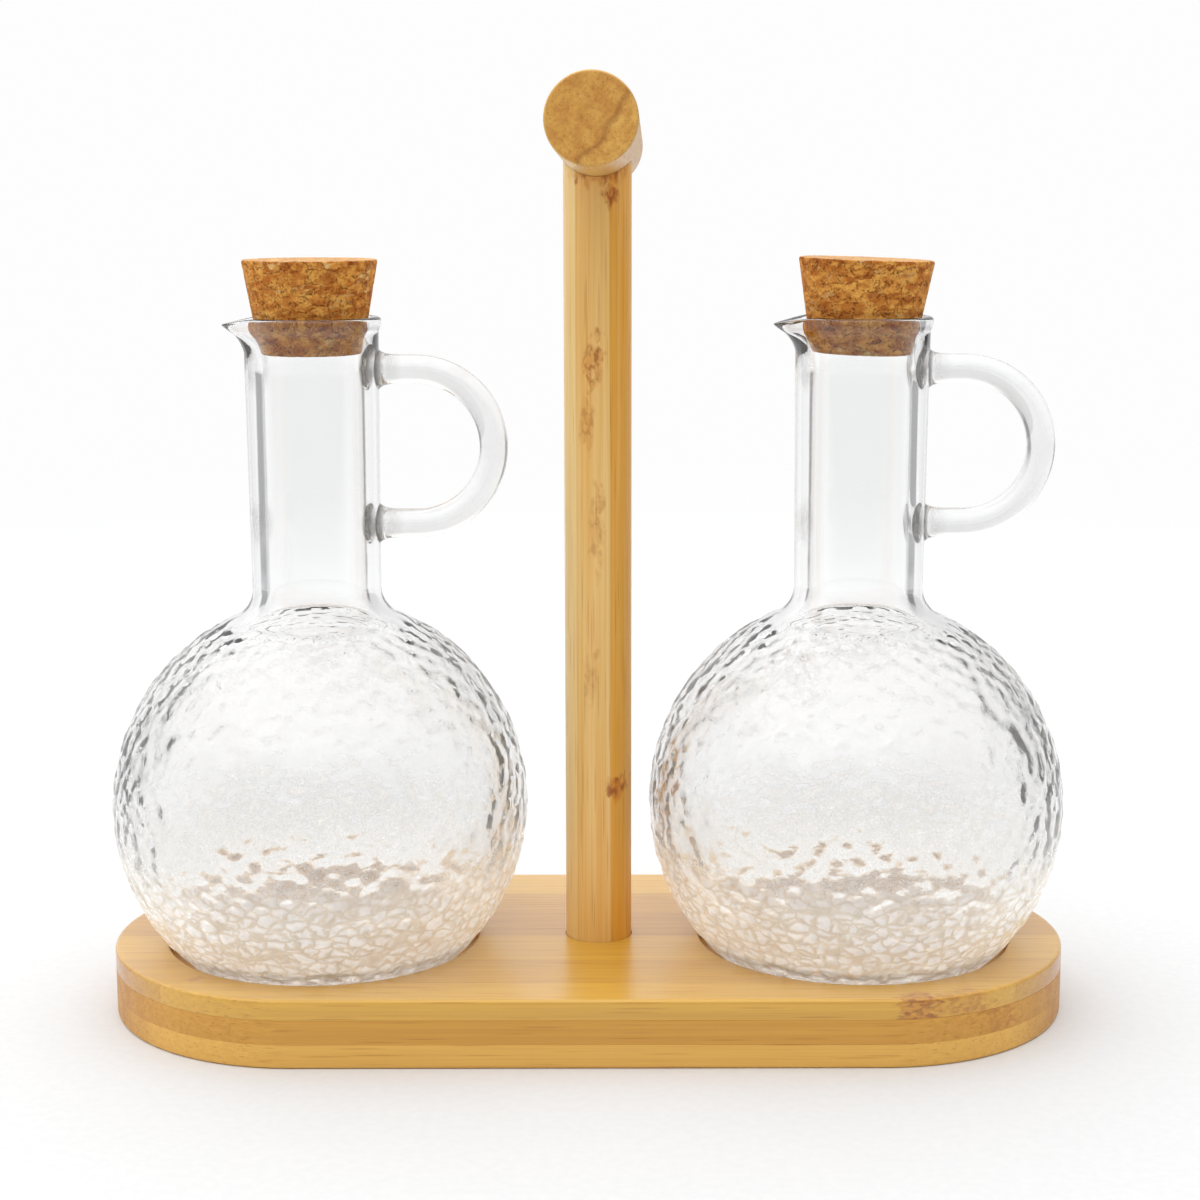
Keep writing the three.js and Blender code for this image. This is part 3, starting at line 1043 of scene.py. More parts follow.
@dataclass
class Post:
    """The upright rod, with a saddle for the bar, a dowel hole and a pilot hole.

    Attributes:
        bar: The crossbar that lies on it.
        gap: Width of the glue line under the bar.
        foot_gap: Room between the dowel and the floor of its hole.
        pilot: Radius of the pilot hole for the screw.
        pilot_end: Room beyond the screw's tip.
        sides: Steps round the rod.
    """

    bar: Crossbar
    gap: float = 0.06 * MM
    foot_gap: float = 0.2 * MM
    pilot: float = 2.3 * MM
    pilot_end: float = 0.3 * MM
    sides: int = 144

    def build(self) -> None:
        """Makes and dresses the post, its dowel pin and its screw."""
        self._build_rod()
        self._build_dowel()
        self._build_screw()

    def _build_rod(self) -> bpy.types.Object:
        """The rod: one profile from the pilot hole's end round to the dowel hole's floor.

        The top rows are moved from a flat top at zero to the bar's underside, so that the
        rod's end fits the bar, and the rows below them follow in proportion to their height.

        Returns:
            The rod.
        """
        low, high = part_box("post")
        centre, radius, length = middle("post"), (high.x - low.x) / 2, high.z - low.z
        dowel_low, dowel_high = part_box("crossbar_dowel")
        dowel_hole = (dowel_high.x - dowel_low.x) / 2 + self.bar.hole_gap
        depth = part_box("post_screw")[1].z - low.z + self.pilot_end
        bored = np.vstack([
            line((0, depth), (self.pilot, depth), 1),
            line((self.pilot, depth), (self.pilot, 0), 4),
        ])
        profile = np.vstack([
            bored,
            line((self.pilot, 0), (radius, 0), 4),
            line((radius, 0.4 * MM), (radius, length), 90),
            line((radius - 0.15 * MM, length), (dowel_hole, length), 10),
        ])
        grid = turned(profile, self.sides) + np.array([centre.x, centre.y, low.z])
        share = np.clip((grid[..., 2] - low.z) / length, 0, 1) ** 8
        share[: len(bored)] = 0
        saddle = self.bar.underside(grid[..., 0], grid[..., 1]) - self.gap
        grid[..., 2] += share * (saddle - high.z)
        floor = dowel_low.z - self.foot_gap
        hole = turned(np.array([(dowel_hole, floor), (0, floor)]), self.sides)
        hole += np.array([centre.x, centre.y, 0])
        wall = np.stack([grid[-1], hole[0]])
        rod = make_mesh("post_bamboo", [grid, wall, hole])
        return dress(rod, self._finish().material(), "stand", "post_bamboo", "post")

    @staticmethod
    def _finish() -> Bamboo:
        """Three upright strips: pale to the left, golden in the middle, browner to the right.

        Returns:
            The bamboo.
        """
        x = middle("post").x / MM
        return Bamboo(
            "post_bamboo", srgb(254, 219, 148), srgb(238, 172, 58), strip=8.2, joint=0.1,
            turn=((0.0, 0.0, 1.0), (1.0, 0.0, 0.0), (0.0, 1.0, 0.0)),
            shift=(0.0, 5.2 - x, 0.0), tones=(0.45, 0.95, -0.1), contrast=1.0,
            # Mark(207.5, 5.6, 2.2, 6.0) is a painted shadow under the crossbar; the others are scars
            # and a knot.
            marks=(
                Mark(163, 4.2, 4.5, 2.4, 0.9), Mark(57, 9.5, 2.6, 2.6, 1.0),
                Mark(202.5, 8.0, 2.0, 2.2, 1.0), Mark(148, 2.6, 6.0, 1.6, 0.5),
                Mark(207.5, 5.6, 2.2, 6.0, 1.0), Mark(122, 5.0, 9.0, 1.8, 0.45),
                Mark(86, 3.0, 5.0, 2.0, 0.3),
            ),
        )

    def _build_dowel(self) -> bpy.types.Object:
        """The pin: a rod whose radius dips in 20 flutes, by |cos 10a| raised to the fourth.

        Returns:
            The pin.
        """
        low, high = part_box("crossbar_dowel")
        radius, chamfer, flute = (high.x - low.x) / 2, 0.8 * MM, 0.22 * MM
        sides, flutes = 240, 20
        profile = np.vstack([
            line((0, low.z), (radius - chamfer, low.z), 6),
            line((radius, low.z + chamfer), (radius, high.z - chamfer), 30),
            line((radius - chamfer, high.z), (0, high.z), 6),
        ])
        grid = turned(profile, sides)
        angle = np.linspace(0, TAU, sides + 1)
        inner = smooth_step(np.abs(grid[..., :2]).max(-1), 0.5 * radius, 0.7 * radius)
        share = 1 - flute / radius * np.abs(np.cos(flutes / 2 * angle)) ** 4 * inner
        grid[..., :2] *= share[..., None]
        centre = middle("crossbar_dowel")
        pin = make_mesh("fluted_dowel", [grid + np.array([centre.x, centre.y, 0])])
        return dress(pin, PlainHardwood().material(), "stand", "dowel_wood", "crossbar_dowel")

    def _build_screw(self) -> bpy.types.Object:
        """The wood screw, head down, with a helical thread and a cross recess.

        At angle a and height z, the thread stands out where the fraction of z / p - a / 2 pi is
        near one half, with p its pitch. It fades in under the head and out at the tip. The
        recess sinks the head's face where either arm of the cross is near.

        Returns:
            The screw.
        """
        low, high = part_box("post_screw")
        head, neck, core, crest, pitch = (v * MM for v in (4.2, 2.9, 1.6, 2.2, 2.2))
        recess, arm, reach = (v * MM for v in (1.9, 0.5, 2.3))
        length, tip, sides = high.z - low.z, 4.5 * MM, 96
        face = line((0, 0), (head - 0.15 * MM, 0), 40)
        profile = np.vstack([
            face,
            line((head, 0.15 * MM), (core, neck), 12),
            line((core, neck + 0.1 * MM), (core, length - tip), 150),
            line((core, length - tip), (0.1 * MM, length), 24)[1:],
            np.array([(0, length)]),
        ])
        grid = turned(profile, sides)
        angle = np.linspace(0, TAU, sides + 1)
        height = grid[..., 2]
        turn = (height / pitch - angle / TAU) % 1
        ridge = np.clip(1 - np.abs(turn - 0.5) / 0.28, 0, 1)
        fade = smooth_step(height, neck, neck + 2 * MM)
        fade = fade * smooth_step(-height, -length, 1 * MM - length)
        base = np.hypot(grid[..., 0], grid[..., 1])
        grown = base + ridge * fade * (crest - core)
        grid[..., :2] *= (grown / np.maximum(base, 1e-9))[..., None]
        x, y = grid[..., 0], grid[..., 1]
        near = np.minimum(np.abs(x + y), np.abs(x - y)) / 2**0.5
        sunk = smooth_step(-near, -arm - 0.12 * MM, -arm)
        sunk = sunk * smooth_step(-base, -reach - 0.2 * MM, -reach)
        grid[: len(face), :, 2] += recess * sunk[: len(face)]
        centre = middle("post_screw")
        screw = make_mesh("wood_screw", [grid + np.array([centre.x, centre.y, low.z])])
        return dress(screw, ZincPlate().material(), "stand", "screw_steel", "post_screw")


@dataclass
class Ply:
    """One layer of the board, with full-round ends, soft edges and round holes.

    Attributes:
        node: The CAD node that it replaces.
        holes: For each hole, its centre along X and its (radius, height) profile, top to bottom.
        cuts: Places along X between which each hole has a stretch of the board to itself.
        top_edge, bottom_edge: Radii of the soft edges.
        finish: The bamboo.
        side: Steps along each side of a stretch.
    """

    INWARDS = (0, 0.006, 0.3, 0.65, 0.97)
    OUTWARDS = (0.9, 0.5, 0.006, 0)

    node: str
    holes: list[tuple[float, Array]]
    cuts: list[float]
    top_edge: float
    bottom_edge: float
    finish: Bamboo
    side: int = 72

    def build(self) -> bpy.types.Object:
        """Makes the ply from one patch for each stretch and one for the rim.

        Returns:
            The ply.
        """
        low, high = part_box(self.node)
        patches = [self._stretch(k, low, high) for k in range(len(self.holes))]
        patches.append(self._rim(low, high))
        ply = make_mesh(self.node + "_bamboo", patches)
        return dress(ply, self.finish.material(), "stand", self.finish.name, self.node)

    def _outline(self, low: Vector, high: Vector, inset: float, k: int) -> tuple[Array, Array]:
        """The front and back edges of a stretch, both from left to right.

        The ends are half circles about the ends of the straight middle, so an inset outline
        is the same with a smaller radius.

        Args:
            low, high: The ply's box.
            inset: Distance inside the outline.
            k: Number of the stretch.

        Returns:
            Two (n, 2) rows of points, of which the outermost start or end on the X axis.
        """
        half = (high.y - low.y) / 2
        straight, radius = high.x - half, half - inset
        ends = [-straight, *self.cuts, straight]
        x = np.linspace(ends[k], ends[k + 1], self.side + 1)
        front = np.stack([x, 0 * x - radius], -1)
        quarter = np.linspace(0, QUARTER, self.side // 2 + 1)
        if k == 0:
            curve = [-straight - radius * np.cos(quarter), -radius * np.sin(quarter)]
            front = np.vstack([np.stack(curve, -1)[:-1], front])
        if k == len(self.holes) - 1:
            curve = [straight + radius * np.sin(quarter), -radius * np.cos(quarter)]
            front = np.vstack([front[:-1], np.stack(curve, -1)])
        return front, front * (1, -1)

    def _loop(self, low: Vector, high: Vector, inset: float, k: int) -> Array:
        """A stretch's whole edge, anticlockwise from the left end of its front.

        Args:
            low, high: The ply's box.
            inset: Distance inside the outline.
            k: Number of the stretch.

        Returns:
            (n, 2) points, closed on themselves.
        """
        front, back = self._outline(low, high, inset, k)
        right = line(tuple(front[-1]), tuple(back[-1]), self.side)
        left = line(tuple(back[0]), tuple(front[0]), self.side)
        loop = np.vstack([front, right, back[::-1], left])
        keep = np.r_[True, np.hypot(*np.diff(loop, axis=0).T) > WELD]
        return loop[keep]

    @staticmethod
    def _level(points: Array, height: float) -> Array:
        """Flat points, all at one height."""
        return np.c_[points, np.full(len(points), height)]

    def _stretch(self, k: int, low: Vector, high: Vector) -> Array:
        """A stretch: top face inwards, down the hole's wall, and bottom face outwards.

        Each row of the faces lies a share of the way from the stretch's edge to the hole's
        circle, whose points are taken in the directions of the edge's points.

        Args:
            k: Number of the stretch.
            low, high: The ply's box.

        Returns:
            The grid of points.
        """
        centre, profile = self.holes[k]
        top = self._loop(low, high, self.top_edge, k)
        bottom = self._loop(low, high, self.bottom_edge, k)
        aim = top - (centre, 0)
        aim /= np.hypot(aim[:, 0], aim[:, 1])[:, None]
        wall = [self._level(aim * radius + (centre, 0), height) for radius, height in profile]
        mouth, foot = wall[0][:, :2], wall[-1][:, :2]
        upper = [self._level(top + share * (mouth - top), high.z) for share in self.INWARDS]
        lower = [self._level(bottom + share * (foot - bottom), low.z) for share in self.OUTWARDS]
        return np.stack(upper + wall + lower)

    def _rim(self, low: Vector, high: Vector) -> Array:
        """The board's edge all round, upwards: lower soft edge, wall, upper soft edge.

        Each soft edge is a quarter circle: a step of angle a lies r (1 - sin a) inside the
        outline and r (1 - cos a) from the face, or the other way round above.

        Args:
            low, high: The ply's box.

        Returns:
            The grid of points.
        """
        steps = np.linspace(0, QUARTER, 6)
        near, far = 1 - np.sin(steps), 1 - np.cos(steps)
        lower = zip(self.bottom_edge * near, low.z + self.bottom_edge * far)
        upper = zip(self.top_edge * far, high.z - self.top_edge * near)
        rows = [self._level(self._whole(low, high, inset), z) for inset, z in (*lower, *upper)]
        return np.stack(rows)

    def _whole(self, low: Vector, high: Vector, inset: float) -> Array:
        """The whole outline, anticlockwise and closed, through every stretch's points.

        Args:
            low, high: The ply's box.
            inset: Distance inside the outline.

        Returns:
            (n, 2) points.
        """
        parts = [self._outline(low, high, inset, k) for k in range(len(self.holes))]
        front = np.vstack([parts[0][0]] + [p[0][1:] for p in parts[1:]])
        return np.vstack([front, (front * (1, -1))[::-1][1:]])


@dataclass
class Board:
    """The laminated board: three plies, two seats, the post's hole and the screw's.

    Attributes:
        seat_radius: Radius of the round seats.
        seat_edge: Radius of the seats' softened rims.
        outer_edge: Radius of the board's softened edges.
        groove: Half the width and the depth of the fine groove between two plies.
        post_gap: Room round the post in its hole.
    """

    seat_radius: float = 39.3 * MM
    seat_edge: float = 0.7 * MM
    outer_edge: float = 0.9 * MM
    groove: float = 0.12 * MM
    post_gap: float = 0.12 * MM

    def build(self) -> None:
        """Makes and dresses the three plies."""
        seats = [middle("left_bottle").x, middle("right_bottle").x]
        post = middle("post").x
        post_hole = size("post").x / 2 + self.post_gap
        cuts = [(seats[0] + self.seat_radius + post) / 2, (seats[1] - self.seat_radius + post) / 2]
        low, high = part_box("base_top_ply")
        seat = self._hole(self.seat_radius, self.seat_edge, low.z, high.z)
        collar = self._hole(post_hole, self.groove, low.z, high.z)
        holes = [(seats[0], seat), (post, collar), (seats[1], seat)]
        Ply("base_top_ply", holes, cuts, self.outer_edge, self.groove, self._top_finish()).build()
        low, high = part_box("base_core_ply")
        collar = self._hole(post_hole, self.groove, low.z, high.z)
        edges = (self.groove, self.groove)
        Ply("base_core_ply", [(post, collar)], [], *edges, self._core_finish(), side=144).build()
        sunk = self._screw_hole(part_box("base_bottom_ply")[1].z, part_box("post_screw")[0].z)
        edges = (self.groove, self.outer_edge)
        Ply("base_bottom_ply", [(post, sunk)], [], *edges, self._bottom_finish(), side=144).build()

    @staticmethod
    def _screw_hole(top: float, head: float) -> Array:
        """Profile of the countersunk screw hole, from the ply's top face down.

        Args:
            top, head: Heights of the ply's top and of the screw's head.

        Returns:
            (radius, height) points.
        """
        shank, sink = 2.35 * MM, 4.35 * MM
        return np.array([
            (shank, top), (shank, head + 2.9 * MM), (sink, head),
            (sink + 0.1 * MM, 0.15 * MM), (sink + 0.25 * MM, 0.0),
        ])

    @staticmethod
    def _hole(radius: float, edge: float, low: float, high: float) -> Array:
        """A hole's profile from the top face down: a rounded rim and a straight wall."""
        rim = arc((radius + edge, high - edge), edge, QUARTER, math.pi, 5)
        return np.vstack([rim, line((radius, high - 1.5 * edge), (radius, low), 3)])

    @staticmethod
    def _top_finish() -> Bamboo:
        """Strips that run along the board, with scars near the front right.

        Returns:
            The bamboo.
        """
        return Bamboo(
            "top_ply_bamboo", srgb(227, 176, 60), srgb(199, 143, 42), strip=17.5, joint=0.2,
            shift=(0.0, 3.0, 0.0), seed=2.0, contrast=0.8, sheen_coat=1.0,
            marks=(
                Mark(78.5, -47.5, 5.0, 5.0, 0.9), Mark(90.5, -44.0, 6.0, 5.0, 0.45),
                Mark(-95, -32.0, 1.6, 1.4, 0.8),
            ),
        )

    @staticmethod
    def _core_finish() -> Bamboo:
        """Darker side-pressed strips.

        Returns:
            The bamboo.
        """
        return Bamboo(
            "core_ply_bamboo", srgb(227, 172, 72), srgb(201, 140, 48), strip=6.0, seed=14.0,
            contrast=0.15, joint=0.08, marks=(Mark(97, -41.0, 5.0, 6.0, 0.35),),
        )

    @staticmethod
    def _bottom_finish() -> Bamboo:
        """Golden flat-pressed strips.

        Returns:
            The bamboo.
        """
        return Bamboo(
            "bottom_ply_bamboo", srgb(241, 191, 91), srgb(219, 162, 72), strip=17.0, seed=21.0,
            contrast=0.3, joint=0.1,
        )


# ---------------------------------------------------------------- the cruets


@dataclass(frozen=True)
class Hammering:
    """Dimples beaten all over a globe.

    The dimples' middles lie on a spiral of even spacing over the sphere, each moved at random.
    The surface's height is the square of the distance to the nearest middle, so every dimple is
    a shallow bowl that meets its neighbours in ridges. Taking -log(sum exp(-k d^2)) / k
    in place of the nearest softens the ridges.

    Attributes:
        radius: The globe's radius, to the tops of the ridges.
        pitch: Mean distance between dimples.
        depth: Depth of a dimple of mean size below its ridges.
        seed: Seed of the random moves.
    """

    radius: float
    pitch: float
    depth: float
    seed: int

    def middles(self) -> Array:
        """The dimples' middles on the globe, from the top down.

        Returns:
            (n, 3) points about the globe's middle.
        """
        cell, stray = 0.87 * self.pitch**2, 0.2 * self.pitch
        count = int(4 * math.pi * self.radius**2 / cell)
        number = np.arange(count) + 0.5
        height = 1 - 2 * number / count
        angle = number * math.pi * (1 + 5**0.5)
        flat = np.sqrt(1 - height**2)
        points = np.stack([flat * np.cos(angle), flat * np.sin(angle), height], -1) * self.radius
        points += np.random.default_rng(self.seed).normal(0, stray, points.shape)
        points *= self.radius / np.linalg.norm(points, axis=1)[:, None]
        return points[np.argsort(-points[:, 2])]

    def sink(self, points: Array) -> Array:
        """How far each point of the globe is beaten in, up to a little over the depth.

        Args:
            points: (rows, columns, 3) points of the globe about its middle, each row level.

        Returns:
            (rows, columns) depths.
        """
        middles = self.middles()
        reach, rim = 1.9 * self.pitch, 0.36 * self.pitch**2
        sharpness = 14 / self.pitch**2
        sunk = np.zeros(points.shape[:2])
        for row, ring in enumerate(points):
            near = middles[np.abs(middles[:, 2] - ring[0, 2]) < reach]
            square = ((ring[:, None] - near[None]) ** 2).sum(-1)
            nearest = -np.log(np.exp(-sharpness * square).sum(1) + 1e-12) / sharpness
            sunk[row] = 1 - np.clip(nearest / rim, -0.2, 1)
        return self.depth * sunk


@dataclass
class Cruet:
    """A glass cruet with its handle and stopper.

    Heights are above the foot, and distances are from the cruet's axis.

    Attributes:
        side: Which cruet it is.
        lean: Angle by which its stopper leans towards +X, in radians.
        spin: Angle by which the hammering is turned about the axis, in radians.
        globe_height: Height of the globe's middle.
        wall, floor: Thickness of the globe's wall and of its floor.
        neck_low, neck_high: The neck's radius at the globe and at the rim.
        neck_fillet: Radius of the fillet between globe and neck.
        bore, bore_fillet: The neck's inner radius, and that of the fillet inside.
        bead: How far the rim's bead stands out.
        lip_reach, lip_drop: How far the lip's tip is pressed out and down.
        lip_depth: How far below the rim the lip begins.
        lip_spread: Half the angle that the lip takes up, in radians.
        rod: Radius of the handle's rod.
        handle_middle, handle_bend: Height and radius of the handle's half circle.
        handle_straight: Distance at which the half circle begins.
        cork_depth: How deep the cork sits in the mouth.
        mouth_gap: Gap between the cork and the mouth.
        pitch, depth: Mean distance between the dimples, and their depth.
        wave, wave_depth: Size and depth of the waves of the inner wall.
        sides: Steps round the bottle.
    """

    side: Side
    lean: float = 0.0
    spin: float = 0.0
    globe_height: float = 39.8 * MM
    wall: float = 3.2 * MM
    floor: float = 6.5 * MM
    neck_low: float = 15.9 * MM
    neck_high: float = 16.45 * MM
    neck_fillet: float = 8.0 * MM
    bore: float = 12.1 * MM
    bore_fillet: float = 11.5 * MM
    bead: float = 0.6 * MM
    lip_reach: float = 5.3 * MM
    lip_drop: float = 1.7 * MM
    lip_depth: float = 9.0 * MM
    lip_spread: float = math.radians(46)
    rod: float = 3.5 * MM
    handle_middle: float = 129.8 * MM
    handle_bend: float = 19.0 * MM
    handle_straight: float = 25.3 * MM
    cork_depth: float = 9.0 * MM
    mouth_gap: float = 0.14 * MM
    pitch: float = 4.6 * MM
    depth: float = 0.46 * MM
    wave: float = 4.2 * MM
    wave_depth: float = 0.4 * MM
    sides: int = 360

    def __post_init__(self) -> None:
        """Reads the cruet's place, globe and cork from the frame."""
        name = self.side.value
        low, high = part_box(f"{name}_bottle")
        self.origin = np.array([(low.x + high.x) / 2, (low.y + high.y) / 2, low.z])
        self.globe = (high.y - low.y) / 2 - 0.02 * MM
        self.height = high.z - low.z
        cork = size("left_stopper")
        self.cork_length = cork.z
        self.cork_top = cork.y / 2
        self.cork_foot = self.cork_top - 3.8 * MM

    def build(self, glass: bpy.types.Material, cork: bpy.types.Material) -> None:
        """Makes and dresses the bottle, its handle and its stopper.

        Args:
            glass, cork: The materials.
        """
        name = self.side.value
        bottle = make_mesh(f"{name}_bottle_glass", [self._bottle()])
        dress(bottle, glass, f"{name}_cruet", "clear_glass", f"{name}_bottle")
        handle = make_mesh(f"{name}_handle_glass", [self._handle()])
        dress(handle, glass, f"{name}_cruet", "clear_glass", f"{name}_handle")
        stopper = make_mesh(f"{name}_cork_stopper", [self._stopper()])
        dress(stopper, cork, f"{name}_cork", "pressed_cork", f"{name}_stopper")

    def _fillet(self, globe: float, tube: float, fillet: float) -> tuple[tuple[float, float], float]:
        """The arc between a globe and the tube that rises from it.

        Args:
            globe, tube, fillet: Radii of the globe, the tube and the arc.

        Returns:
            The arc's centre, and the angle at which it meets the globe.
        """
        across = tube + fillet
        rise = math.sqrt((globe + fillet) ** 2 - across**2)
        return (across, self.globe_height + rise), math.atan2(rise, across)

    def _neck(self, height: Array | float) -> Array | float:
        """The neck's outer radius, which widens evenly towards the rim.

        Args:
            height: Height above the foot.

        Returns:
            The radius.
        """
        start = self._fillet(self.globe, self.neck_low, self.neck_fillet)[0][1]
        share = (height - start) / (self.height - start)
        return self.neck_low + (self.neck_high - self.neck_low) * share

    def _cork_radius(self, height: float) -> float:
        """The stopper's radius at a height."""
        share = (height - self.height + self.cork_depth) / self.cork_length
        return self.cork_foot + (self.cork_top - self.cork_foot) * share

    def _outside(self) -> Array:
        """Profile of the outside, from the middle of the foot up to the rim's bead.

        Returns:
            (radius, height) points.
        """
        globe = (0.0, self.globe_height)
        foot = -math.asin((self.globe_height - 1.2 * MM) / self.globe)
        edge = (self.globe * math.cos(foot), 1.2 * MM)
        centre, meet = self._fillet(self.globe, self.neck_low, self.neck_fillet)
        bead = self.height - 2.2 * MM
        low_neck = np.linspace(centre[1], self.height - self.lip_depth, 9)
        heights = np.r_[low_neck, np.linspace(low_neck[-1], bead - 2.4 * MM, 9)[1:]]
        return np.vstack([
            line((0.0, 0.1 * MM), (edge[0] - 4.0 * MM, 0.1 * MM), 30),
            line((edge[0] - 3.0 * MM, 0.05 * MM), (edge[0] - 2.0 * MM, 0.1 * MM), 1),
            line((edge[0] - 1.0 * MM, 0.45 * MM), edge, 1),
            arc(globe, self.globe, foot, meet, 118)[1:],
            arc(centre, self.neck_fillet, math.pi + meet, math.pi, 10)[1:],
            np.stack([self._neck(heights), heights], -1)[1:],
        ])

    def _rim(self) -> Array:
        """Profile of the rim: a bead outside, rounded over to the mouth by half an ellipse.

        Returns:
            (radius, height) points.
        """
        crown = 0.8 * MM
        top, neck = self.height - crown, self._neck(self.height)
        outer = neck + self.bead
        mouth = self._cork_radius(self.height) + self.mouth_gap
        swell = [
            (neck, top - 2.6 * MM), (neck + 0.6 * self.bead, top - 1.9 * MM),
            (outer, top - 1.0 * MM),
        ]
        angle = np.linspace(0, math.pi, 13)
        radius = (outer + mouth) / 2 + (outer - mouth) / 2 * np.cos(angle)
        return np.vstack([swell, np.stack([radius, top + crown * np.sin(angle)], -1)])

    def _inside(self) -> Array:
        """Profile of the inside, from the mouth down to the middle of the floor.

        Returns:
            (radius, height) points.
        """
        radius = self.globe - self.wall
        centre, meet = self._fillet(radius, self.bore, self.bore_fillet)
        floor = -math.asin((self.globe_height - self.floor - 4 * MM) / radius)
        edge = arc((0.0, self.globe_height), radius, meet, floor, 34)
        foot = self.height - self.cork_depth - 1.0 * MM
        seat = self._cork_radius(foot) + self.mouth_gap
        mouth = self._cork_radius(self.height) + self.mouth_gap
        reach, rise = edge[-1]
        turn = np.linspace(0, QUARTER, 8)[1:]
        across, down = reach * (1 - 0.32 * (1 - np.cos(turn))), (rise - self.floor) * np.sin(turn)
        dish = np.stack([across, rise - down], -1)
        return np.vstack([
            line((mouth, self.height - 1.4 * MM), (seat, foot), 10),
            line((seat, foot), (self.bore, foot - 3.0 * MM), 4)[1:],
            line((self.bore, foot - 4.0 * MM), (self.bore, centre[1]), 4),
            arc(centre, self.bore_fillet, math.pi, math.pi + meet, 10)[1:],
            edge[1:],
            dish,
            line(tuple(dish[-1]), (0.0, self.floor + 0.5 * MM), 8)[1:],
        ])

    def _bottle(self) -> Array:
        """The bottle: outside, rim and inside turned in one, hammered, waved and lipped.

        Returns:
            The grid of points in the frame.
        """
        outside, rim = self._outside(), self._rim()
        grid = turned(np.vstack([outside, rim, self._inside()]), self.sides)
        _, meet = self._fillet(self.globe, self.neck_low, self.neck_fillet)
        above = outside[:, 1] > self.globe_height + self.globe * math.sin(meet)
        hammered, within = slice(int(np.argmax(above))), slice(len(outside) + len(rim), None)
        grid[hammered] = self._hammered(grid[hammered], math.sin(meet))
        grid[within] = self._waved(grid[within])
        return self._lip(grid) + self.origin

    def _hammered(self, points: Array, end: float) -> Array:
        """Points of the globe's outside, moved towards its middle by the hammering.

        Args:
            points: Points about the cruet's axis, in level rows.
            end: Sine of the angle above the middle at which the hammering has faded out.

        Returns:
            The moved points.
        """
        globe = np.array([0, 0, self.globe_height])
        length = np.linalg.norm(points - globe, axis=-1, keepdims=True)
        aim = (points - globe) / length
        fade = smooth_step(-aim[..., 2], -end, 0.05 - end)
        dimples = Hammering(self.globe, self.pitch, self.depth, 7)
        sunk = dimples.sink(self._spun(aim) * self.globe) * fade
        return globe + aim * (length - sunk[..., None])

    def _waved(self, points: Array) -> Array:
        """Points of the inside, moved to and from the globe's middle by noise, up to the neck.

        Args:
            points: Points about the cruet's axis.

        Returns:
            The moved points.
        """
        outward = points - np.array([0, 0, self.globe_height])
        reach = np.maximum(np.linalg.norm(outward, axis=-1, keepdims=True), MM)
        below_neck = smooth_step(-outward[..., 2:], -0.8 * self.globe, -0.6 * self.globe)
        wave = ValueNoise(self.wave, 5).at(points)[..., None] * self.wave_depth
        return points + outward / reach * wave * below_neck

    def _spun(self, points: Array) -> Array:
        """Points turned about the axis by the cruet's spin."""
        cos, sin = math.cos(self.spin), math.sin(self.spin)
        return points @ np.array([[cos, -sin, 0], [sin, cos, 0], [0, 0, 1]])

    def _lip(self, grid: Array) -> Array:
        """Presses the rim out and down into a lip on the -X side.

        The push is the height above the lip's foot, as a share and raised to 1.6, times the
        square of the cosine of the angle away from -X. The lip also narrows towards its tip.

        Args:
            grid: Points of the bottle about its axis.

        Returns:
            The moved points.
        """
        height = np.clip((grid[..., 2] - self.height + self.lip_depth) / self.lip_depth, 0, 1)
        off = np.abs(np.arctan2(grid[..., 1], -grid[..., 0])) / self.lip_spread
        push = height**1.6 * np.cos(np.clip(off, 0, 1) * QUARTER) ** 2
        move = [-push * self.lip_reach, -push * 0.45 * grid[..., 1], -push * self.lip_drop]
        return grid + np.stack(move, -1)

    def _handle(self) -> Array:
        """The handle: rings carried out from the neck, round a half circle and back.

        The ring at distance s along the centre line has the rod's radius plus a flare of
        f exp(-s / l) at each weld. Points near the neck are moved so that the ends follow the
        neck's curve.

        Returns:
            The grid of points in the frame.
        """
        sunk, flare, fall = 0.12 * MM, 1.5 * MM, 1.3 * MM
        upper, lower = (self.handle_middle + sign * self.handle_bend for sign in (1, -1))
        starts = [self._neck(z) - sunk for z in (upper, lower)]
        straights = [self.handle_straight - start for start in starts]
        bend = math.pi * self.handle_bend
        total = sum(straights) + bend
        ends = np.array([0, 0.15, 0.4, 0.8, 1.4, 2.2, 3.2, 4.6, 6.4]) * MM
        along = np.r_[ends, np.linspace(8.5 * MM, total - 8.5 * MM, 90), total - ends[::-1]]
        caps = np.array([0, 0.35, 0.7])
        shares = np.r_[caps, np.ones(len(along)), caps[::-1]]
        along = np.r_[0 * caps, along, total + 0 * caps]
        turn = np.clip((along - straights[0]) / bend, 0, 1) * math.pi
        back = np.where(along < straights[0], straights[0] - along, 0)
        back += np.where(along > straights[0] + bend, along - straights[0] - bend, 0)
        x = self.handle_straight - back + self.handle_bend * np.sin(turn)
        z = self.handle_middle + self.handle_bend * np.cos(turn)
        near = np.minimum(along, total - along)
        ring = (self.rod + flare * np.exp(-near / fall)) * shares
        angle = np.linspace(0, TAU, 49)[:, None]
        normal = np.stack([-np.sin(turn), 0 * turn, -np.cos(turn)], -1)[:, None]
        out = ring[:, None, None] * (np.cos(angle) * normal + np.sin(angle) * np.array([0, 1, 0]))
        grid = np.stack([x, 0 * x, z], -1)[:, None] + out
        neck = np.where(along < total / 2, starts[0], starts[1])[:, None]
        follow = np.exp(-((near / (2.2 * MM)) ** 2))[:, None]
        grid[..., 0] += follow * (np.sqrt(neck**2 - grid[..., 1] ** 2) - neck)
        sway = ValueNoise(14 * MM, 23 if self.side is Side.LEFT else 29).at(grid + self.origin)
        grid[..., 1] += 0.35 * MM * sway * smooth_step(near, 3 * MM, 12 * MM)[:, None]
        return grid + self.origin

